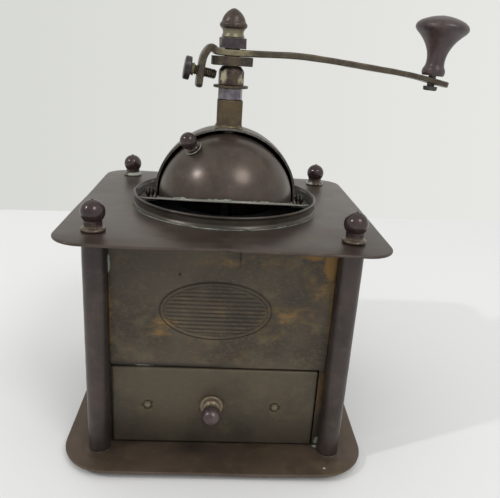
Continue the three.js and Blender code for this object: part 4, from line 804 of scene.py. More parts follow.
def panelRust(points):
    inside, wave = barShare(points)
    edge = fadeOut(panel["half"] - np.abs(points[:, 0]), 0.6, 3.2)
    return np.maximum.reduce([edge * softSpots(points, ((-53, 78, 6, 30, 0.6), (53, 85, 8, 34, 0.62))),
                              softSpots(points, ((50.5, 107, 4, 9, 1.1), (43, 112, 8, 3, 0.9))),
                              0.42 * inside * smoothStep(wave, 0.45, 0.95)])


# dark marks on the front panel: a painted shadow along its lower edge, darker spots near its top, a dark pit and
# crack, dark hollows between the bars
def panelSootAndShadow(points):
    inside, wave = barShare(points)
    # painted shadow of the gap above the drawer, along the panel's lower edge on its left side
    line = 0.9 * fadeOut(points[:, 2] - panelLow[2], 0.8, 2.4) * fadeOut(points[:, 0], -10, 30)
    spots = softSpots(points, ((-40, 108, 22, 14, 0.3), (10, 117, 30, 5, 0.24), (*panel["pit"], 0.9, 0.9, 0.9),
                               (-28.5, 107, 0.6, 0.6, 0.6), (panel["crack"][0], 110, 0.5, 5, 0.7)))
    return np.maximum.reduce([line, spots, 0.42 * inside * fadeOut(wave, 0.05, 0.5)])


# fold along the panel's lower edge
shelf = {"half": 51.4, "front": -54.5, "rear": -51.5, "low": 0.05, "high": 1.0}
shelfPlan = np.array([[-1, 0], [1, 0], [1, 1], [-1, 1]]) * [shelf["half"], shelf["rear"] - shelf["front"]]
shelfPlan = shelfPlan + [0, shelf["front"]]
shelfPoints = np.stack([np.insert(shelfPlan, 2, panelLow[2] + shelf[level], axis=1) for level in ("low", "high")])
shelfPart = (shelfPoints, np.vstack([gridFaces(2, 4, False, True), [[3, 2, 1, 0], [4, 5, 6, 7]]]))
makePiece("frontPanelSheet", [slab(front, panel["face"] + panel["thickness"]), shelfPart], "root",
          panelPaint, "front_panel",
          {"crust": panelCrust, "stained": panelStains, "rubbedAndPaintedLight": panelRust, "sootAndShade": panelSootAndShadow})
print("front panel made")

# drawer: folded front sheet, rivets, washer and turned ball knob
drawer = {"halfWidth": 51.3, "height": 43.6, "corner": 1.1, "fold": 2.6, "thickness": 1.0, "bow": 0.3}
knob = {"x": -2.7, "z": 23.4, "ball": 5.0, "reach": 8.6, "stem": 3.3, "collar": 4.3, "rivets": 32,
        "washerHalo": 6.4, "rivetHalo": 3}
frontLow, frontHigh = nodeBox("drawer_front")
drawerFace = frontLow[1]


# rows run from the middle of the face over the rounded edge, back along the fold and in again
def foldedFront(size, centre):
    outline, normal = roundedOutline(size["halfWidth"], size["height"] / 2, size["corner"], 8, 70)
    bend = np.radians(np.linspace(0, 90, 7))
    corner, fold, thick = size["corner"], size["fold"], size["thickness"]
    inset = np.concatenate([corner * (1 - np.sin(bend)), [0, 0, 0.98 * thick, 0.98 * thick]])
    back = np.concatenate([corner * (1 - np.cos(bend)), [fold - 0.1, fold, fold, thick, thick]])
    ringRows = outline - normal * inset[:, None, None]
    share = np.linspace(0, 1, 36)[:-1]
    rows = np.concatenate([share[:, None, None] * ringRows[0], ringRows, ringRows[-1:] * 0])
    depth = np.concatenate([0 * share, back])[:, None] + 0 * rows[..., 0]
    inner = np.concatenate([1 - share**6, 0 * back])  # the bow fades out towards the edge
    swell = size["bow"] * ripple(rows, 48, 71) * inner[:, None]
    flat = np.stack([rows[..., 0], depth - swell, rows[..., 1]], -1)
    return turnPart((flat, gridFaces(len(rows), len(outline), False, True)), None, centre)


def drawerCrust(points):
    return fadeOut(points[:, 2] - frontLow[2], 0.1, 0.8) * softSpots(points, ((0, frontLow[2], 25, 9, 0.5),))


# distance past the washer's rim, and past the rim of the nearer rivet
def pastFittings(points):
    x, z = points[:, 0] - knob["x"], points[:, 2] - baseLevel - knob["z"]
    return np.hypot(x, z) - knob["washerHalo"], np.hypot(np.abs(x) - knob["rivets"], z) - knob["rivetHalo"]


def drawerHalo(points):  # greenish ochre round the washer and the rivets
    return 0.8 * fadeOut(np.minimum(*pastFittings(points)), -1, 2.5)


# dark rings round the washer and the rivets, two smudges, and the face darker towards the bottom
def drawerDarkMarks(points):
    washer, rivet = pastFittings(points)
    spots = softSpots(points, ((-10, frontLow[2] + 2, 14, 7, 0.6), (46, frontLow[2] + 8, 9, 14, 0.35)))
    low = 0.42 * fadeOut(points[:, 2] - frontLow[2], 0, 24)
    return np.maximum.reduce([0.8 * bell(washer, -0.1, 0.55), bell(rivet, -0.7, 0.55), spots, low])


middle = ((frontLow[0] + frontHigh[0]) / 2, drawerFace, (frontLow[2] + frontHigh[2]) / 2)
makePiece("drawerFace", foldedFront(drawer, middle), "drawer", drawerPaint, "drawer_front",
          {"crust": drawerCrust, "rubbedAndPaintedLight": drawerHalo, "sootAndShade": drawerDarkMarks})

toFront = aboutX(math.pi / 2)  # turns a piece that stands on Z so that it points forward
knobPlace = np.array([knob["x"], drawerFace, baseLevel + knob["z"]])
low = -math.degrees(math.acos(0.62))
profile = np.vstack([softened([[0, -3.9], [2, -3.9], [2, 1.35], [knob["collar"], 1.35], [knob["collar"], 2.3],
                               [knob["stem"], 3.0], [knob["stem"] - 0.2, knob["reach"] - knob["ball"] * 0.9]],
                              [0.2, 0.1, 0.4, 0.4, 0.5], 5),
                     arc(knob["ball"], knob["reach"], low, 84, 36),
                     [[0.35, knob["reach"] + knob["ball"] + 0.06], [0, knob["reach"] + knob["ball"] + 0.1]]])
makePiece("drawerKnobBall", turnPart(lathe(evenly(profile, 0.5), 64, False, 0.03, 81), toFront, knobPlace), "drawer",
          knobPaint, "drawer_knob", {"rubbedAndPaintedLight": lambda p: 1.1 * fadeOut(drawerFace - p[:, 1], 3.6, 5.0)})
profile = softened([[2.3, 0.2], [6.0, 0.2], [5.7, 1.2], [2.3, 1.2]], [0.1, 0.25, 0.5, 0.1], 5, True)
makePiece("drawerKnobWasher", turnPart(lathe(profile, 64, True, 0.05, 82), toFront, knobPlace), "drawer",
          knobPaint, "drawer_knob_washer", {"rubbedAndPaintedLight": lambda p: 0 * p[:, 0] + 0.75})
for name, side in (("left", -1), ("right", 1)):
    profile = np.vstack([softened([[0, -2.9], [1.25, -2.9], [1.25, 0.2], [2.1, 0.2], [2.05, 0.5]], 0.12, 3),
                         softened([[1.7, 0.95], [0.9, 1.3], [0, 1.4]], 0.5, 5)])
    place = knobPlace + [side * knob["rivets"], 0, 0]
    makePiece("drawerRivetHead_" + name, turnPart(lathe(profile, 36), toFront, place), "drawer",
              workPaint, "drawer_rivet_" + name,
              {"rubbedAndPaintedLight": lambda p: 0.7 * smoothStep(drawerFace - p[:, 1], 0.7, 1.3)})
print("drawer made")

# hopper collar: upright ring with a rolled lip, on an uneven line of solder
collar = {"inner": 47.1, "outer": 48.4, "height": 6.1, "lip": 0.68, "foot": 0.9, "uneven": 0.12}
profile = np.vstack([softened([[collar["inner"], 0.2], [collar["outer"] + collar["foot"], 0.2],
                               [collar["outer"] + 0.6, 0.8], [collar["outer"], 1.6],
                               [collar["outer"] - 0.1, collar["height"] - 1.9]], [0.2, 0.3, 0.6], 5),
                     arc(collar["lip"], collar["height"] - collar["lip"], -60, 175, 16, collar["outer"] - 0.15),
                     [[collar["inner"], collar["height"] - 1.6]]])
part = turnPart(ringLathe(profile, 0.8, 200, collar["uneven"], 91), move=(0, 0, plateLevel))
makePiece("hopperRing", part, "root", ringPaint, "hopper_collar",
          {"crust": lambda p: 0.6 * fadeOut(p[:, 2], plateLevel + 0.4, plateLevel + 1.1),
           # painted light: the collar's inside face is painted pale where the hopper lies in shade
           "rubbedAndPaintedLight": lambda p: 0.9 * (fromAxis(p) < collar["inner"] + 0.3)})
path = circled(collarSeam, np.linspace(0, 2 * np.pi, 260, endpoint=False), plateLevel + 0.08)
makePiece("hopperRingSeam", solderBead(path, 0.2, 0.14, 9, 92, 0.06, 0.42), "root", solderPaint)

# dome and lid: each is a lune of a sphere about the hinge's axis, on a half-ring brim
rearDome = {"radius": 37.8, "wall": 1.0, "edge": 102.0, "foot": -3.8, "brimInner": 37.3, "brimOuter": 46.6,
            "brim": 1.0, "lip": 0.18, "flatten": 0.0, "ears": (40.8, -42.0), "seam": 38.1}
lidShell = {"radius": 35.6, "wall": 1.0, "edge": 97.5, "foot": -3.7, "brimInner": 34.7, "brimOuter": 46.0,
            "brim": 0.8, "lip": 0.12, "flatten": 0.1, "ears": (39.0, -40.2), "seam": 35.75}
notch = {"half": 4.5, "depth": 11.3}


# x = R sin u, y = R cos u cos v, z = R cos u sin v: u runs from ear to ear and v from the foot over the top;
# below the hinge the same circle goes straight down to the foot; facing is +1 for the rear and -1 for the lid
def lune(size, facing, edgeOf, count=130):
    u = np.radians(np.linspace(-90, 90, count))
    beside = notch["half"] + np.array([-0.05, 0, 0.05])
    u = np.unique(np.concatenate([u, np.arcsin(np.concatenate([-beside, beside]) / size["radius"])]))
    share = np.linspace(0, 1, 64)
    skirt = np.linspace(size["foot"], 0, 6)[:-1]

    def surface(radius, lip):
        v = np.minimum(math.radians(size["edge"]) * share[:, None], edgeOf(u)[None, :])
        radius = radius * (1 - size["flatten"] * smoothStep(v, math.radians(48), math.radians(97)))
        swell = radius + lip * bell((1 - share)[:, None] * np.radians(size["edge"]) * radius, 0, 1)
        hoop = swell * np.cos(u)
        upper = np.stack([swell * np.sin(u), facing * hoop * np.cos(v), hoop * np.sin(v)], -1)
        lowR = np.sqrt(radius[0] ** 2 - skirt[:, None] ** 2)
        lower = np.stack([lowR * np.sin(u), facing * lowR * np.cos(u), skirt[:, None] + 0 * u], -1)
        return np.concatenate([lower, upper])

    outer, inner = surface(size["radius"], size["lip"]), surface(size["radius"] - size["wall"], 0.0)
    outer = outer * (1 + 0.0022 * ripple(outer, 30, 95))[..., None]
    points = np.concatenate([outer, inner[::-1]])
    return points, gridFaces(len(points), len(u), True, False)


# half ring with rounded edges: r from inner to outer, angle over the half turn that faces the piece
def halfBrim(size, facing, curl):
    turn = np.radians(np.linspace(0.6, 179.4, 150))
    edge = size["brim"] / 2
    rim = evenLoop(softened([[size["brimInner"], 0], [size["brimOuter"], 0], [size["brimOuter"], size["brim"]],
                             [size["brimInner"], size["brim"]]], edge * 0.8, 5, True), 1.2)
    points = circled(rim[:, :1], facing * turn, size["foot"] + rim[:, 1:])
    curled = curl * bell(np.minimum(turn, np.pi - turn), 0, 0.16) * smoothStep(rim[:, :1], 41, 46)
    points[..., 2] += curled + 0.1 * ripple(points[..., :2], 26, 96)
    return points, gridFaces(len(rim), len(turn), True, False)


# ear about the hinge: a round tab whose foot stands on the brim, y towards its own side
def hingeEar(place, facing, foot):
    turn = np.radians(np.linspace(-18, 225, 40))
    tab = np.vstack([np.stack([2.6 * np.cos(turn), 2.6 * np.sin(turn)], -1),
                     evenly([[0.9, foot], [4.4, foot]], 0.9), evenly([[4.4, foot], [2.6, -0.8]], 0.9)[:-1]])
    across = np.array([0, 0, 0.12, 1.08, 1.2, 1.2])[:, None]
    scale = np.array([0, 0.93, 1, 1, 0.93, 0])[:, None]
    points = np.stack([place + across + 0 * tab[:, 0], facing * tab[:, 0] * scale, tab[:, 1] * scale], -1)
    return points, gridFaces(len(points), len(tab), False, True)


def domeCrust(rotation=None, amount=0.85):
    def crust(points):
        local = points - [0, 0, hingeLevel]
        local = local if rotation is None else local @ rotation
        seam = fadeOut(np.abs(fromAxis(local) - 36.6), 0.5, 1.9)
        ends = bell(np.abs(local[:, 0]), 38, 3.5) * bell(local[:, 1], 0, 6)
        return amount * np.maximum(seam, ends) * fadeOut(local[:, 2], -2.8, -0.6)
    return crust


def earSoot(points):  # the hinge's ears are nearly black
    near = fadeOut(np.hypot(points[:, 1], points[:, 2] - hingeLevel), 3.4, 5.0)
    return near * smoothStep(np.abs(points[:, 0]), 38.2, 38.8)


def rearRimHighlight(points):  # painted highlight along the front edge of the rear dome
    angle = np.degrees(np.arctan2(points[:, 2] - hingeLevel, points[:, 1]))
    return 0.6 * smoothStep(angle, rearDome["edge"] - 1.4, rearDome["edge"] - 0.3)


def brimEdge(points):  # rubbed front edge of the lid's brim
    local = (points - [0, 0, hingeLevel]) @ aboutX(lidRaised)
    return 0.8 * smoothStep(fromAxis(local), 44.6, 45.4) * (local[:, 2] < -1)


atHinge = (0, 0, hingeLevel)
ears = [hingeEar(place, 1, -2.8) for place in rearDome["ears"]]
parts = [lune(rearDome, 1, lambda u: np.radians(rearDome["edge"]) + 0 * u), halfBrim(rearDome, 1, 0.0), *ears]
makePiece("rearDomeShell", [turnPart(part, move=atHinge) for part in parts], "root", domePaint,
          "rear_dome", {"crust": domeCrust(), "sootAndShade": earSoot, "rubbedAndPaintedLight": rearRimHighlight})


def lidEdge(u):  # the lid's upper edge stops at the notch where the spindle passes
    x = lidShell["radius"] * np.sin(u)
    slot = notch["depth"] + np.sqrt(np.maximum(notch["half"] ** 2 - x**2, 0))
    front = np.arccos(np.clip(slot / (lidShell["radius"] * np.maximum(np.cos(u), 1e-3)), -1, 1))
    return np.where(np.abs(x) < notch["half"], front, np.radians(lidShell["edge"]))


raised = aboutX(lidRaised)
ears = [hingeEar(place, -1, -2.9) for place in lidShell["ears"]]
parts = [lune(lidShell, -1, lidEdge), halfBrim(lidShell, -1, 0.5), *ears]
makePiece("lidShell", [turnPart(part, raised, atHinge) for part in parts], "lid", domePaint,
          "hopper_lid", {"crust": domeCrust(raised, 1.25), "sootAndShade": earSoot, "rubbedAndPaintedLight": brimEdge})
angle = np.radians(np.linspace(183, 357, 170))
thick = 0.26 + 0.9 * bell(np.minimum(angle - np.pi, 2 * np.pi - angle), 0.05, 0.09)  # thicker at both ends
part = solderBead(circled(lidShell["seam"], angle, lidShell["foot"] + 0.85), thick, 0.14, 7, 97, 0.08, 1.2, False)
makePiece("lidSeam", turnPart(part, raised, atHinge), "lid", solderPaint)
path = circled(rearDome["seam"], np.radians(np.linspace(3, 177, 150)), rearDome["foot"] + 1.05)
part = solderBead(path, 0.25, 0.2, 8, 98, 0.06, 0.6, False)
makePiece("domeSeam", turnPart(part, move=atHinge), "root", solderPaint)

# knob on the lid: ring, stem and ball, square to the shell
lidKnob = {"ball": 4.3, "reach": 5.7, "stem": 2.4, "ring": 4.3, "azimuth": 37.6, "elevation": 38.5}
seat, centre = lidShell["radius"] + 0.35, lidShell["radius"] + lidKnob["reach"]
low = -math.degrees(math.acos(lidKnob["stem"] / lidKnob["ball"]))
profile = np.vstack([softened([[0, seat - 2], [1.2, seat - 2], [1.2, seat], [lidKnob["ring"], seat],
                               [lidKnob["ring"], seat + 0.55], [lidKnob["stem"] + 0.4, seat + 0.9],
                               [lidKnob["stem"], seat + 1.5]], [0.1, 0.1, 0.25, 0.3, 0.3], 5),
                     arc(lidKnob["ball"], centre, low, 82, 36),
                     [[0.3, centre + lidKnob["ball"] + 0.06], [0, centre + lidKnob["ball"] + 0.1]]])
aim = aboutZ(math.radians(-lidKnob["azimuth"])) @ aboutX(math.radians(90 - lidKnob["elevation"]))
knobTurn = raised @ aim


def ringCrust(points):
    local = (points - atHinge) @ knobTurn
    rim = smoothStep(fromAxis(local), lidKnob["ring"] - 0.7, lidKnob["ring"] - 0.1)
    return 1.2 * rim * fadeOut(local[:, 2], seat + 0.35, seat + 0.8)


def ringBrass(points):
    return 0.5 * fadeOut((points - atHinge) @ knobTurn[:, 2], seat + 1.0, seat + 2.0)


makePiece("lidKnobBall", turnPart(lathe(evenly(profile, 0.5), 56, False, 0.03, 99), knobTurn, atHinge), "lid",
          ballPaint, "lid_knob", {"crust": ringCrust, "rubbedAndPaintedLight": ringBrass})
for name, side in (("left", -1), ("right", 1)):
    profile = softened([[0, 38.3], [1.5, 38.3], [1.9, 38.8], [1.1, 38.8], [1.1, 42.2], [1.9, 42.2], [1.5, 42.8],
                        [0, 42.9]], 0.2, 4)
    part = turnPart(lathe(profile, 24), aboutY(side * math.pi / 2), atHinge)
    makePiece("hingePin_" + name, part, "root", screwPaint, "lid_rivet_" + name,
              {"sootAndShade": lambda p: 0 * p[:, 0] + 1})
    low, high = nodeBox("brim_screw_" + name)
    tall = high[2] - low[2]
    profile = softened([[0, 0], [1.25, 0], [1.25, tall - 1.1], [2.1, tall - 1.1], [2.0, tall - 0.4], [1.0, tall],
                        [0, tall]], [0.1, 0.1, 0.1, 0.4, 0.5], 4)
    place = (low + high) / 2
    makePiece("brimRivet_" + name, turnPart(lathe(profile, 32), move=(place[0], place[1], low[2])), "root",
              screwPaint, "brim_screw_" + name)
print("hopper made")

# bearing post on the dome: square column with worn corners, on a fillet of solder
post = {"half": 6.5, "power": 22, "gap": 0.3, "turns": 160, "steps": 30, "seam": 0.15}
spindleBore = 4.1  # radius of the hole in the post and in each nut
postTop = nodeLevels("bearing_post")[1]
domeHeight = lambda reach: hingeLevel + np.sqrt((rearDome["radius"] + post["gap"]) ** 2 - reach**2)
angle = np.linspace(0, 2 * np.pi, post["turns"], endpoint=False)
side = blockRadius(angle, post["half"], post["half"], post["power"])
bottomShare = np.linspace(0, 1, 6)[:-1]
bottom = domeHeight(spindleBore + bottomShare[:, None] * (side - spindleBore))
shaft = domeHeight(side) + (postTop - 0.35 - domeHeight(side)) * np.linspace(0, 1, post["steps"])[:, None]
height = np.vstack([bottom, shaft, np.array([[postTop - 0.08], [postTop], [postTop]]) + 0 * side])
share = np.concatenate([bottomShare, np.ones(post["steps"]), [0.93, 0.8, 0]])
part = polarSolid(share, height, lambda angle, height: side + 0 * height, spindleBore, post["turns"])
makePiece("postColumn", part, "root", postPaint, "bearing_post",
          {"rubbedAndPaintedLight": lambda p: 0.45 * fadeOut(p[:, 2], domeHeight(7.5) + 0.4, domeHeight(7.5) + 3.0)})
reach = side + post["seam"]
part = solderBead(circled(reach, angle, domeHeight(reach) - 0.05), 0.5, 0.25, 6, 101, 0.15, 0.9)
makePiece("postSeam", part, "root", postPaint)


# nut between two heights: the polygon's radius, or the chamfer cone's where that is smaller
def nutPart(radiusOf, low, high, shoulder):
    edge = np.array([0.12, 0.3, 0.6])
    middle = np.linspace(low + 1, high - 1, 14)
    heights = np.concatenate([[low, low], low + edge, middle, high - edge[::-1], [high, high]])
    share = np.concatenate([[0, 0.97], np.ones(len(heights) - 4), [0.97, 0]])
    return polarSolid(share, heights, lambda a, h: np.minimum(radiusOf(a), shoulder(h)), spindleBore, 180)


def chamfer(low, high, radius, slope=1.2):
    return lambda h: radius + slope * np.minimum(np.minimum(h - low, high - h), 0.9) - 0.35


head = aboutZ(crankAngle)
steelNut = {"flats": 11.6, "turn": math.radians(20)}
low, high = nodeLevels("post_nut")
hexTip = steelNut["flats"] / math.sqrt(3)
part = nutPart(lambda a: polygonRadius(a, 6, steelNut["flats"], hexTip - 0.12), low, high, chamfer(low, high, hexTip))
makePiece("steelNut", turnPart(part, aboutZ(steelNut["turn"])), "root", steelPaint, "post_nut")
low, high = nodeLevels("thrust_washer")
washer = 8.9  # radius
profile = softened([[spindleBore, low], [washer, low], [washer, high], [spindleBore, high]],
                   [0.1, 0.35, 0.35, 0.1], 4, True)
makePiece("thrustRing", ringLathe(profile, 0.6, 80, 0.08, 111), "drive", workPaint, "thrust_washer")

# adjusting nut: hexagon turned down to cones above and below
adjuster = {"flats": 12.2, "shoulder": 3.2, "neck": 4.75}
hexLow, hexHigh = nodeLevels("adjusting_nut")
corner = adjuster["flats"] / math.sqrt(3)
coneHeights = [hexLow, hexLow + 1.0, hexHigh - adjuster["shoulder"], hexHigh - 0.8, hexHigh]
coneRadii = [corner - 0.35, corner + 0.3, corner + 0.3, adjuster["neck"] + 0.6, adjuster["neck"]]


def hexStain(points):
    spots = softSpots(points, ((-4, hexLow + 4, 1.8, 4, 1.2), (4.5, hexLow + 3, 1.6, 3, 1.0)))
    return spots * (points[:, 1] < 0)


part = nutPart(lambda a: polygonRadius(a, 6, adjuster["flats"], corner - 0.1), hexLow, hexHigh,
               lambda h: np.interp(h, coneHeights, coneRadii))
makePiece("adjustingHex", turnPart(part, head @ aboutZ(math.pi / 6)), "adjuster", hexPaint,
          "adjusting_nut", {"stained": hexStain})

# boss and lock nut: blocks with rounded corners
for name, node, halfX, halfY, power, seed, paint in (("crankBlock", "crank_boss", 10, 6.5, 9, 113, workPaint),
                                                     ("lockNutBlock", "lock_nut", 6.2, 6.2, 14, 114, lockPaint)):
    low, high = nodeLevels(node)
    points, faces = nutPart(lambda a: blockRadius(a, halfX, halfY, power), low, high,
                            chamfer(low, high, max(halfX, halfY) * 1.25, 3.0))
    points = points + 0.1 * ripple(points, 5, seed)[..., None] * [1, 1, 0.15]
    makePiece(name, turnPart((points, faces), head), "spindle_and_crank", paint, node,
              {"sootAndShade": lambda p: 0.8 * fadeOut(p[:, 0], -8, -5) * (node == "crank_boss")})
profile = [[0, 0.0], [5.9, 0], [5.5, 0.9], [5.1, 2.1], [5.4, 3.3], [6.0, 4.1], [6.75, 4.8], [6.9, 5.6], [6.65, 6.4],
           [5.9, 7.1], [5.7, 7.8], [5.45, 8.6], [4.9, 9.7], [4.2, 10.7], [3.1, 11.9], [1.7, 12.9], [0.8, 13.25],
           [0, 13.4]]
part = lathe(evenly(softened(profile, 0.5, 5), 0.4), 72, False, 0.1, 115)
acornLow = nodeLevels("acorn_nut")[0]
makePiece("acornCap", turnPart(part, head, (0, 0, acornLow)), "spindle_and_crank", acornPaint,
          "acorn_nut", {"rubbedAndPaintedLight": lambda p: 1.1 * fadeOut(p[:, 2], acornLow + 3.6, acornLow + 4.4)})
print("post and nuts made")


# smooth curve through points: Barry and Goldman's cubic, with knots that grow as the root of the distance
def smoothPath(points, perPiece=14):
    p = np.asarray(points, float)
    p = np.vstack([2 * p[0] - p[1], p, 2 * p[-1] - p[-2]])
    t = np.concatenate([[0], np.cumsum(np.linalg.norm(np.diff(p, axis=0), axis=1) ** 0.5)])
    curve = []
    for k in range(1, len(p) - 2):
        s = np.linspace(t[k], t[k + 1], perPiece, endpoint=False)[:, None]
        blend = lambda a, b, ta, tb: (tb - s) / (tb - ta) * a + (s - ta) / (tb - ta) * b
        a1, a2 = blend(p[k - 1], p[k], t[k - 1], t[k]), blend(p[k], p[k + 1], t[k], t[k + 1])
        a3 = blend(p[k + 1], p[k + 2], t[k + 1], t[k + 2])
        b1, b2 = blend(a1, a2, t[k - 1], t[k + 1]), blend(a2, a3, t[k], t[k + 2])
        curve.append(blend(b1, b2, t[k], t[k + 1]))
    return np.vstack(curve + [p[-2:-1]])


# crank: a strip along its middle line, with a section that is a superellipse and rounded ends
crank = {"thickness": 3.4, "tipThickness": 2.8, "width": 12, "tipWidth": 10, "reach": 118.6, "drop": 9.6,
         "tail": 15.4, "tailDepth": 17.6, "hump": 1.9, "square": 0.28}
armLevel = nodeLevels("lock_nut")[0] - 0.2 - crank["thickness"] / 2
reach, drop, tail = crank["reach"], crank["drop"], crank["tail"]
spine = smoothPath([[-tail - 1.1, -crank["tailDepth"]], [-tail, -0.45 * crank["tailDepth"]], [-tail + 1.4, -1.8],
                    [-tail + 4.6, crank["hump"]], [-8, 0.35], [-5, 0], [12, 0], [0.3 * reach, 0.02 * drop],
                    [0.56 * reach, -0.25 * drop], [0.82 * reach, -0.6 * drop], [reach, -drop]])
spine = evenly(spine, 1.0)
fromTip = np.concatenate([[0], np.cumsum(np.linalg.norm(np.diff(spine, axis=0), axis=1))])
total = fromTip[-1]
ahead = np.gradient(spine, axis=0)
ahead /= np.linalg.norm(ahead, axis=1)[:, None]
share = np.clip(spine[:, 0] / reach, 0, 1)
halfThick = (crank["thickness"] + (crank["tipThickness"] - crank["thickness"]) * share) / 2
taper = np.clip((spine[:, 0] - 10) / (reach - 15), 0, 1)
halfWide = (crank["width"] + (crank["tipWidth"] - crank["width"]) * taper) / 2
halfWide = np.where(spine[:, 0] < -10, crank["width"] / 2 - 0.7, halfWide)
roundEnd = lambda distance, radius: np.sqrt(np.clip(1 - (1 - np.clip(distance / radius, 0, 1)) ** 2, 0, 1))
halfWide = halfWide * roundEnd(total - fromTip, 5) * (0.35 + 0.65 * roundEnd(fromTip, 2.5))
squeeze = 0.55 + 0.45 * roundEnd(np.minimum(fromTip, total - fromTip), 1.2)
turn = np.linspace(0, 2 * np.pi, 40, endpoint=False)
across, upward = (np.sign(wave) * np.abs(wave) ** crank["square"] for wave in (np.cos(turn), np.sin(turn)))
normal = np.stack([-ahead[:, 1], ahead[:, 0]], -1)
rise = (halfThick * squeeze)[:, None] * upward
x = spine[:, :1] + normal[:, :1] * rise
z = spine[:, 1:] + normal[:, 1:] * rise
points = np.stack([x, halfWide[:, None] * across, z], -1)
points = points + 0.12 * ripple(points, 13, 121)[..., None] * smoothStep(np.abs(points[..., :1]), 12, 20) * [0, 1, 1]
part = (points, gridFaces(len(spine), len(turn), False, True))
makePiece("crankStrip", turnPart(part, head, (0, 0, armLevel)), "spindle_and_crank", armPaint,
          "crank_arm", {"rubbedAndPaintedLight": lambda p: 0.75 * bell(fromAxis(p), 4, 9)})

# thumb screw: threaded shank, waisted collar and disc head, tilted down towards the spindle
thumb = {"radius": 2.5, "pitch": 1.0, "depth": 0.42, "length": 16.2, "head": 5.7, "headThickness": 3.2,
         "collar": 3.3, "collarLength": 1.6, "tilt": 10.0, "gap": 0.35}
tipX = -(corner + thumb["gap"]) - thumb["radius"] * math.sin(math.radians(thumb["tilt"]))
tip = np.array([tipX, 0, (hexLow + hexHigh) / 2])
screwTurn = head @ aboutY(math.radians(thumb["tilt"])) @ aboutY(-math.pi / 2)
tipPlace = head @ tip


# r = mean + depth times a rounded triangle wave of (h / pitch - a / 2 pi): a helical thread
def threadPart(size, low, high, turns=48):
    heights = np.linspace(low, high, int((high - low) / size["pitch"] * 12))
    angle = np.linspace(0, 2 * np.pi, turns, endpoint=False)
    phase = (heights[:, None] / size["pitch"] - angle / (2 * np.pi)) % 1
    wave = np.clip(1.6 * (np.abs(2 * phase - 1) - 0.5), -0.6, 0.6)
    fade = smoothStep(heights, low, low + 0.8)[:, None]
    radius = size["radius"] - size["depth"] * (0.5 - wave * 0.8) - 0.45 * (1 - fade)
    points = circled(radius, angle, heights[:, None])
    closed = np.concatenate([points[:1] * [0, 0, 1], points, points[-1:] * [0, 0, 1]])
    return closed, gridFaces(len(closed), turns, False, True)


part = threadPart(thumb, 0.0, thumb["length"] - 1.6)
makePiece("thumbShank", turnPart(part, screwTurn, tipPlace), "clamp_shank", armPaint,
          "thumb_screw_shank")
end, socket = thumb["length"], 2.8  # the head's outer face, and the radius of its hole for the shank
headFrom = end - thumb["headThickness"]
collarFrom = headFrom - thumb["collarLength"]
profile = softened([[socket, collarFrom], [thumb["collar"], collarFrom], [thumb["collar"] - 0.5, collarFrom + 1.2],
                    [thumb["collar"] + 0.3, headFrom], [thumb["head"], headFrom], [thumb["head"], end],
                    [0.01, end + 0.25], [0.01, end - 1.2], [socket, end - 1.2]],
                   [0.2, 0.3, 0.6, 0.3, 0.6, 0.8, 0.01, 0.01, 0.2], 6, True)
makePiece("thumbHead", turnPart(ringLathe(profile, 0.5, 64, 0.06, 122), screwTurn, tipPlace), "clamp_head",
          screwPaint, "thumb_screw_head",
          {"rubbedAndPaintedLight": lambda p: fadeOut(np.abs((p - tipPlace) @ screwTurn[:, 2]), headFrom - 0.7, headFrom - 0.2)})
print("crank made")

# grip: turned mushroom on its pin
grip = {"radius": 13.8, "height": 30.2, "tilt": 3.0, "bore": 2.3, "reach": 109, "slope": 10}
gripShape = [(0.40, 0), (0.44, 0.045), (0.425, 0.11), (0.36, 0.17), (0.345, 0.26), (0.39, 0.38), (0.49, 0.49),
             (0.63, 0.59), (0.80, 0.675), (0.93, 0.73), (1, 0.785), (0.975, 0.835), (0.86, 0.89), (0.66, 0.935),
             (0.42, 0.97), (0.18, 0.99), (0, 1.0)]
curve = smoothPath(gripShape, 8) * [grip["radius"], grip["height"]]
curve[:, 0] = np.maximum(curve[:, 0], 0)
start = np.array([[0, grip["height"] * 0.7], [grip["bore"], grip["height"] * 0.7], [grip["bore"], 0]])
profile = np.vstack([softened(np.vstack([start, curve[:1]]), 0.2, 3), curve[1:]])
part = lathe(evenly(profile, 0.6), 96, False, 0.06, 131)
gripTurn = head @ aboutY(math.radians(grip["tilt"]))
armThere = np.interp(grip["reach"], spine[:, 0][spine[:, 0] > 50], spine[:, 1][spine[:, 0] > 50])
gripFoot = crank["thickness"] / 2 + 0.44 * grip["radius"] * math.tan(math.radians(grip["slope"] - grip["tilt"])) + 0.2
place = head @ np.array([grip["reach"], 0, armLevel + armThere]) + gripTurn @ np.array([0, 0, gripFoot])
makePiece("gripTurning", turnPart(part, gripTurn, place), "grip", gripPaint, "grip_knob")
print("grip made")

# nodes whose shape is right keep it and get their finish
for name, paint in (("deck", wallPaint), ("drawer_tray", wallPaint), ("hopper_funnel", wallPaint),
                    *((node, ironPaint) for node in ("drawer_rail_left", "drawer_rail_right", "upper_bridge",
                                                     "burr_housing", "housing_screw_1", "housing_screw_2",
                                                     "housing_screw_3", "lower_bridge", "burr_cone", "burr_nut",
                                                     "spindle", "lift_spring", "grip_pin"))):
    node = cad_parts[name]
    node.data.materials.clear()
    node.data.materials.append(paint)

# table and wall: a pale floor that ends behind the object, and a pale world behind it
floorPaint = Paint("paleTable")
floorPaint.shader.inputs["Base Color"].default_value = (0.8, 0.8, 0.79, 1)
floorPaint.shader.inputs["Roughness"].default_value = 0.6
floorMesh = bpy.data.meshes.new("table")
floorMesh.from_pydata([(-3, -3, 0), (3, -3, 0), (3, 0.663, 0), (-3, 0.132, 0)], [], [(0, 1, 2, 3)])
floorMesh.materials.append(floorPaint.material)
floor = bpy.data.objects.new("table", floorMesh)
bpy.context.scene.collection.objects.link(floor)

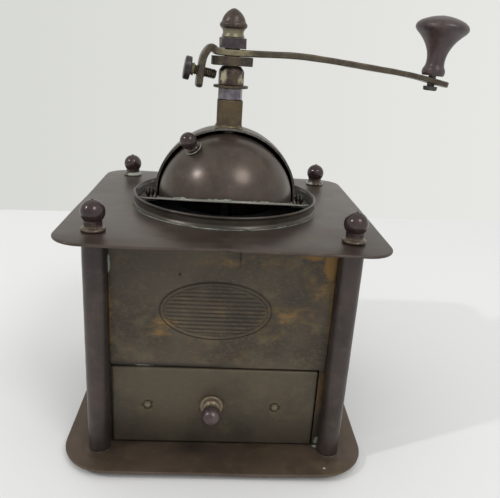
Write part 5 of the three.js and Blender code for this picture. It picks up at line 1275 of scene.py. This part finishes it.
light = {"horizon": 0.6, "zenith": 0.95, "wallLeft": (0.68, 0.69, 0.66, 1), "wallRight": (0.80, 0.80, 0.77, 1),
         "distance": 1.7, "left": {"toward": (-0.70, -0.32, 0.60), "power": 6.0, "size": 0.07},
         "right": {"toward": (0.36, -0.54, 0.66), "power": 6.5, "size": 0.6}}
world = bpy.data.worlds.new("room")
bpy.context.scene.world = world
world.use_nodes = True
tree = world.node_tree
background = tree.nodes["Background"]
background.inputs["Color"].default_value = (1, 1, 1, 1)


def roomNode(kind, values=None, key=0, settings=None):
    return addNode(tree, kind, settings, values).outputs[key]


# the camera, mirrors and glass see a pale wall that is a little brighter on the right; the rest is plain light
around = roomNode("ShaderNodeTexCoord", None, "Generated")
direction = addNode(tree, "ShaderNodeSeparateXYZ", None, {0: around}).outputs
share = roomNode("ShaderNodeMapRange", {"Value": direction["X"], "From Min": -0.4, "From Max": 0.45})
strength = roomNode("ShaderNodeMapRange",
                    {"Value": direction["Z"], "To Min": light["horizon"], "To Max": light["zenith"]})
tree.links.new(strength, background.inputs["Strength"])
wallColours = {"Factor": share, 6: light["wallLeft"], 7: light["wallRight"]}
wall = roomNode("ShaderNodeMix", wallColours, 2, {"data_type": "RGBA"})
seen = roomNode("ShaderNodeBackground", {"Color": wall, "Strength": 1.0})
rays = addNode(tree, "ShaderNodeLightPath").outputs
straight = rays["Is Camera Ray"]
for kind in ("Is Glossy Ray", "Is Transmission Ray"):
    straight = roomNode("ShaderNodeMath", {0: straight, 1: rays[kind]}, 0, {"operation": "MAXIMUM"})
mixer = roomNode("ShaderNodeMixShader", {0: straight, 1: background.outputs[0], 2: seen})
tree.links.new(mixer, tree.nodes["World Output"].inputs[0])

target = Vector((axisX, 0, 0.11))
for name in ("left", "right"):
    lamp = bpy.data.lights.new("lamp_" + name, "AREA")
    lamp.shape, lamp.size, lamp.energy = "DISK", light[name]["size"], light[name]["power"]
    holder = bpy.data.objects.new("lamp_" + name, lamp)
    bpy.context.scene.collection.objects.link(holder)
    direction = Vector(light[name]["toward"]).normalized()
    holder.location = target + direction * light["distance"]
    holder.rotation_euler = direction.to_track_quat("Z", "Y").to_euler()

# camera: close above the front, looking down and rolled a little
view = {"place": (-4.96, -296.77, 199.3), "yaw": 3.92, "pitch": 19.40, "roll": 3.80, "lens": 40.28}
yaw, pitch, roll = (math.radians(view[key]) for key in ("yaw", "pitch", "roll"))
camera = bpy.data.objects.new("camera", bpy.data.cameras.new("camera"))
bpy.context.scene.collection.objects.link(camera)
camera.data.lens, camera.data.sensor_width, camera.data.clip_start = view["lens"], 36, 0.01
turned = aboutZ(-yaw) @ aboutX(math.pi / 2 - pitch) @ aboutZ(roll)
place = Vector(view["place"]) * mm + Vector((axisX, 0, 0))
camera.matrix_world = Matrix.Translation(place) @ Matrix(turned.tolist()).to_4x4()
bpy.context.scene.camera = camera
bpy.context.scene.view_settings.view_transform = "Standard"
print("stage, lamps and camera ready")
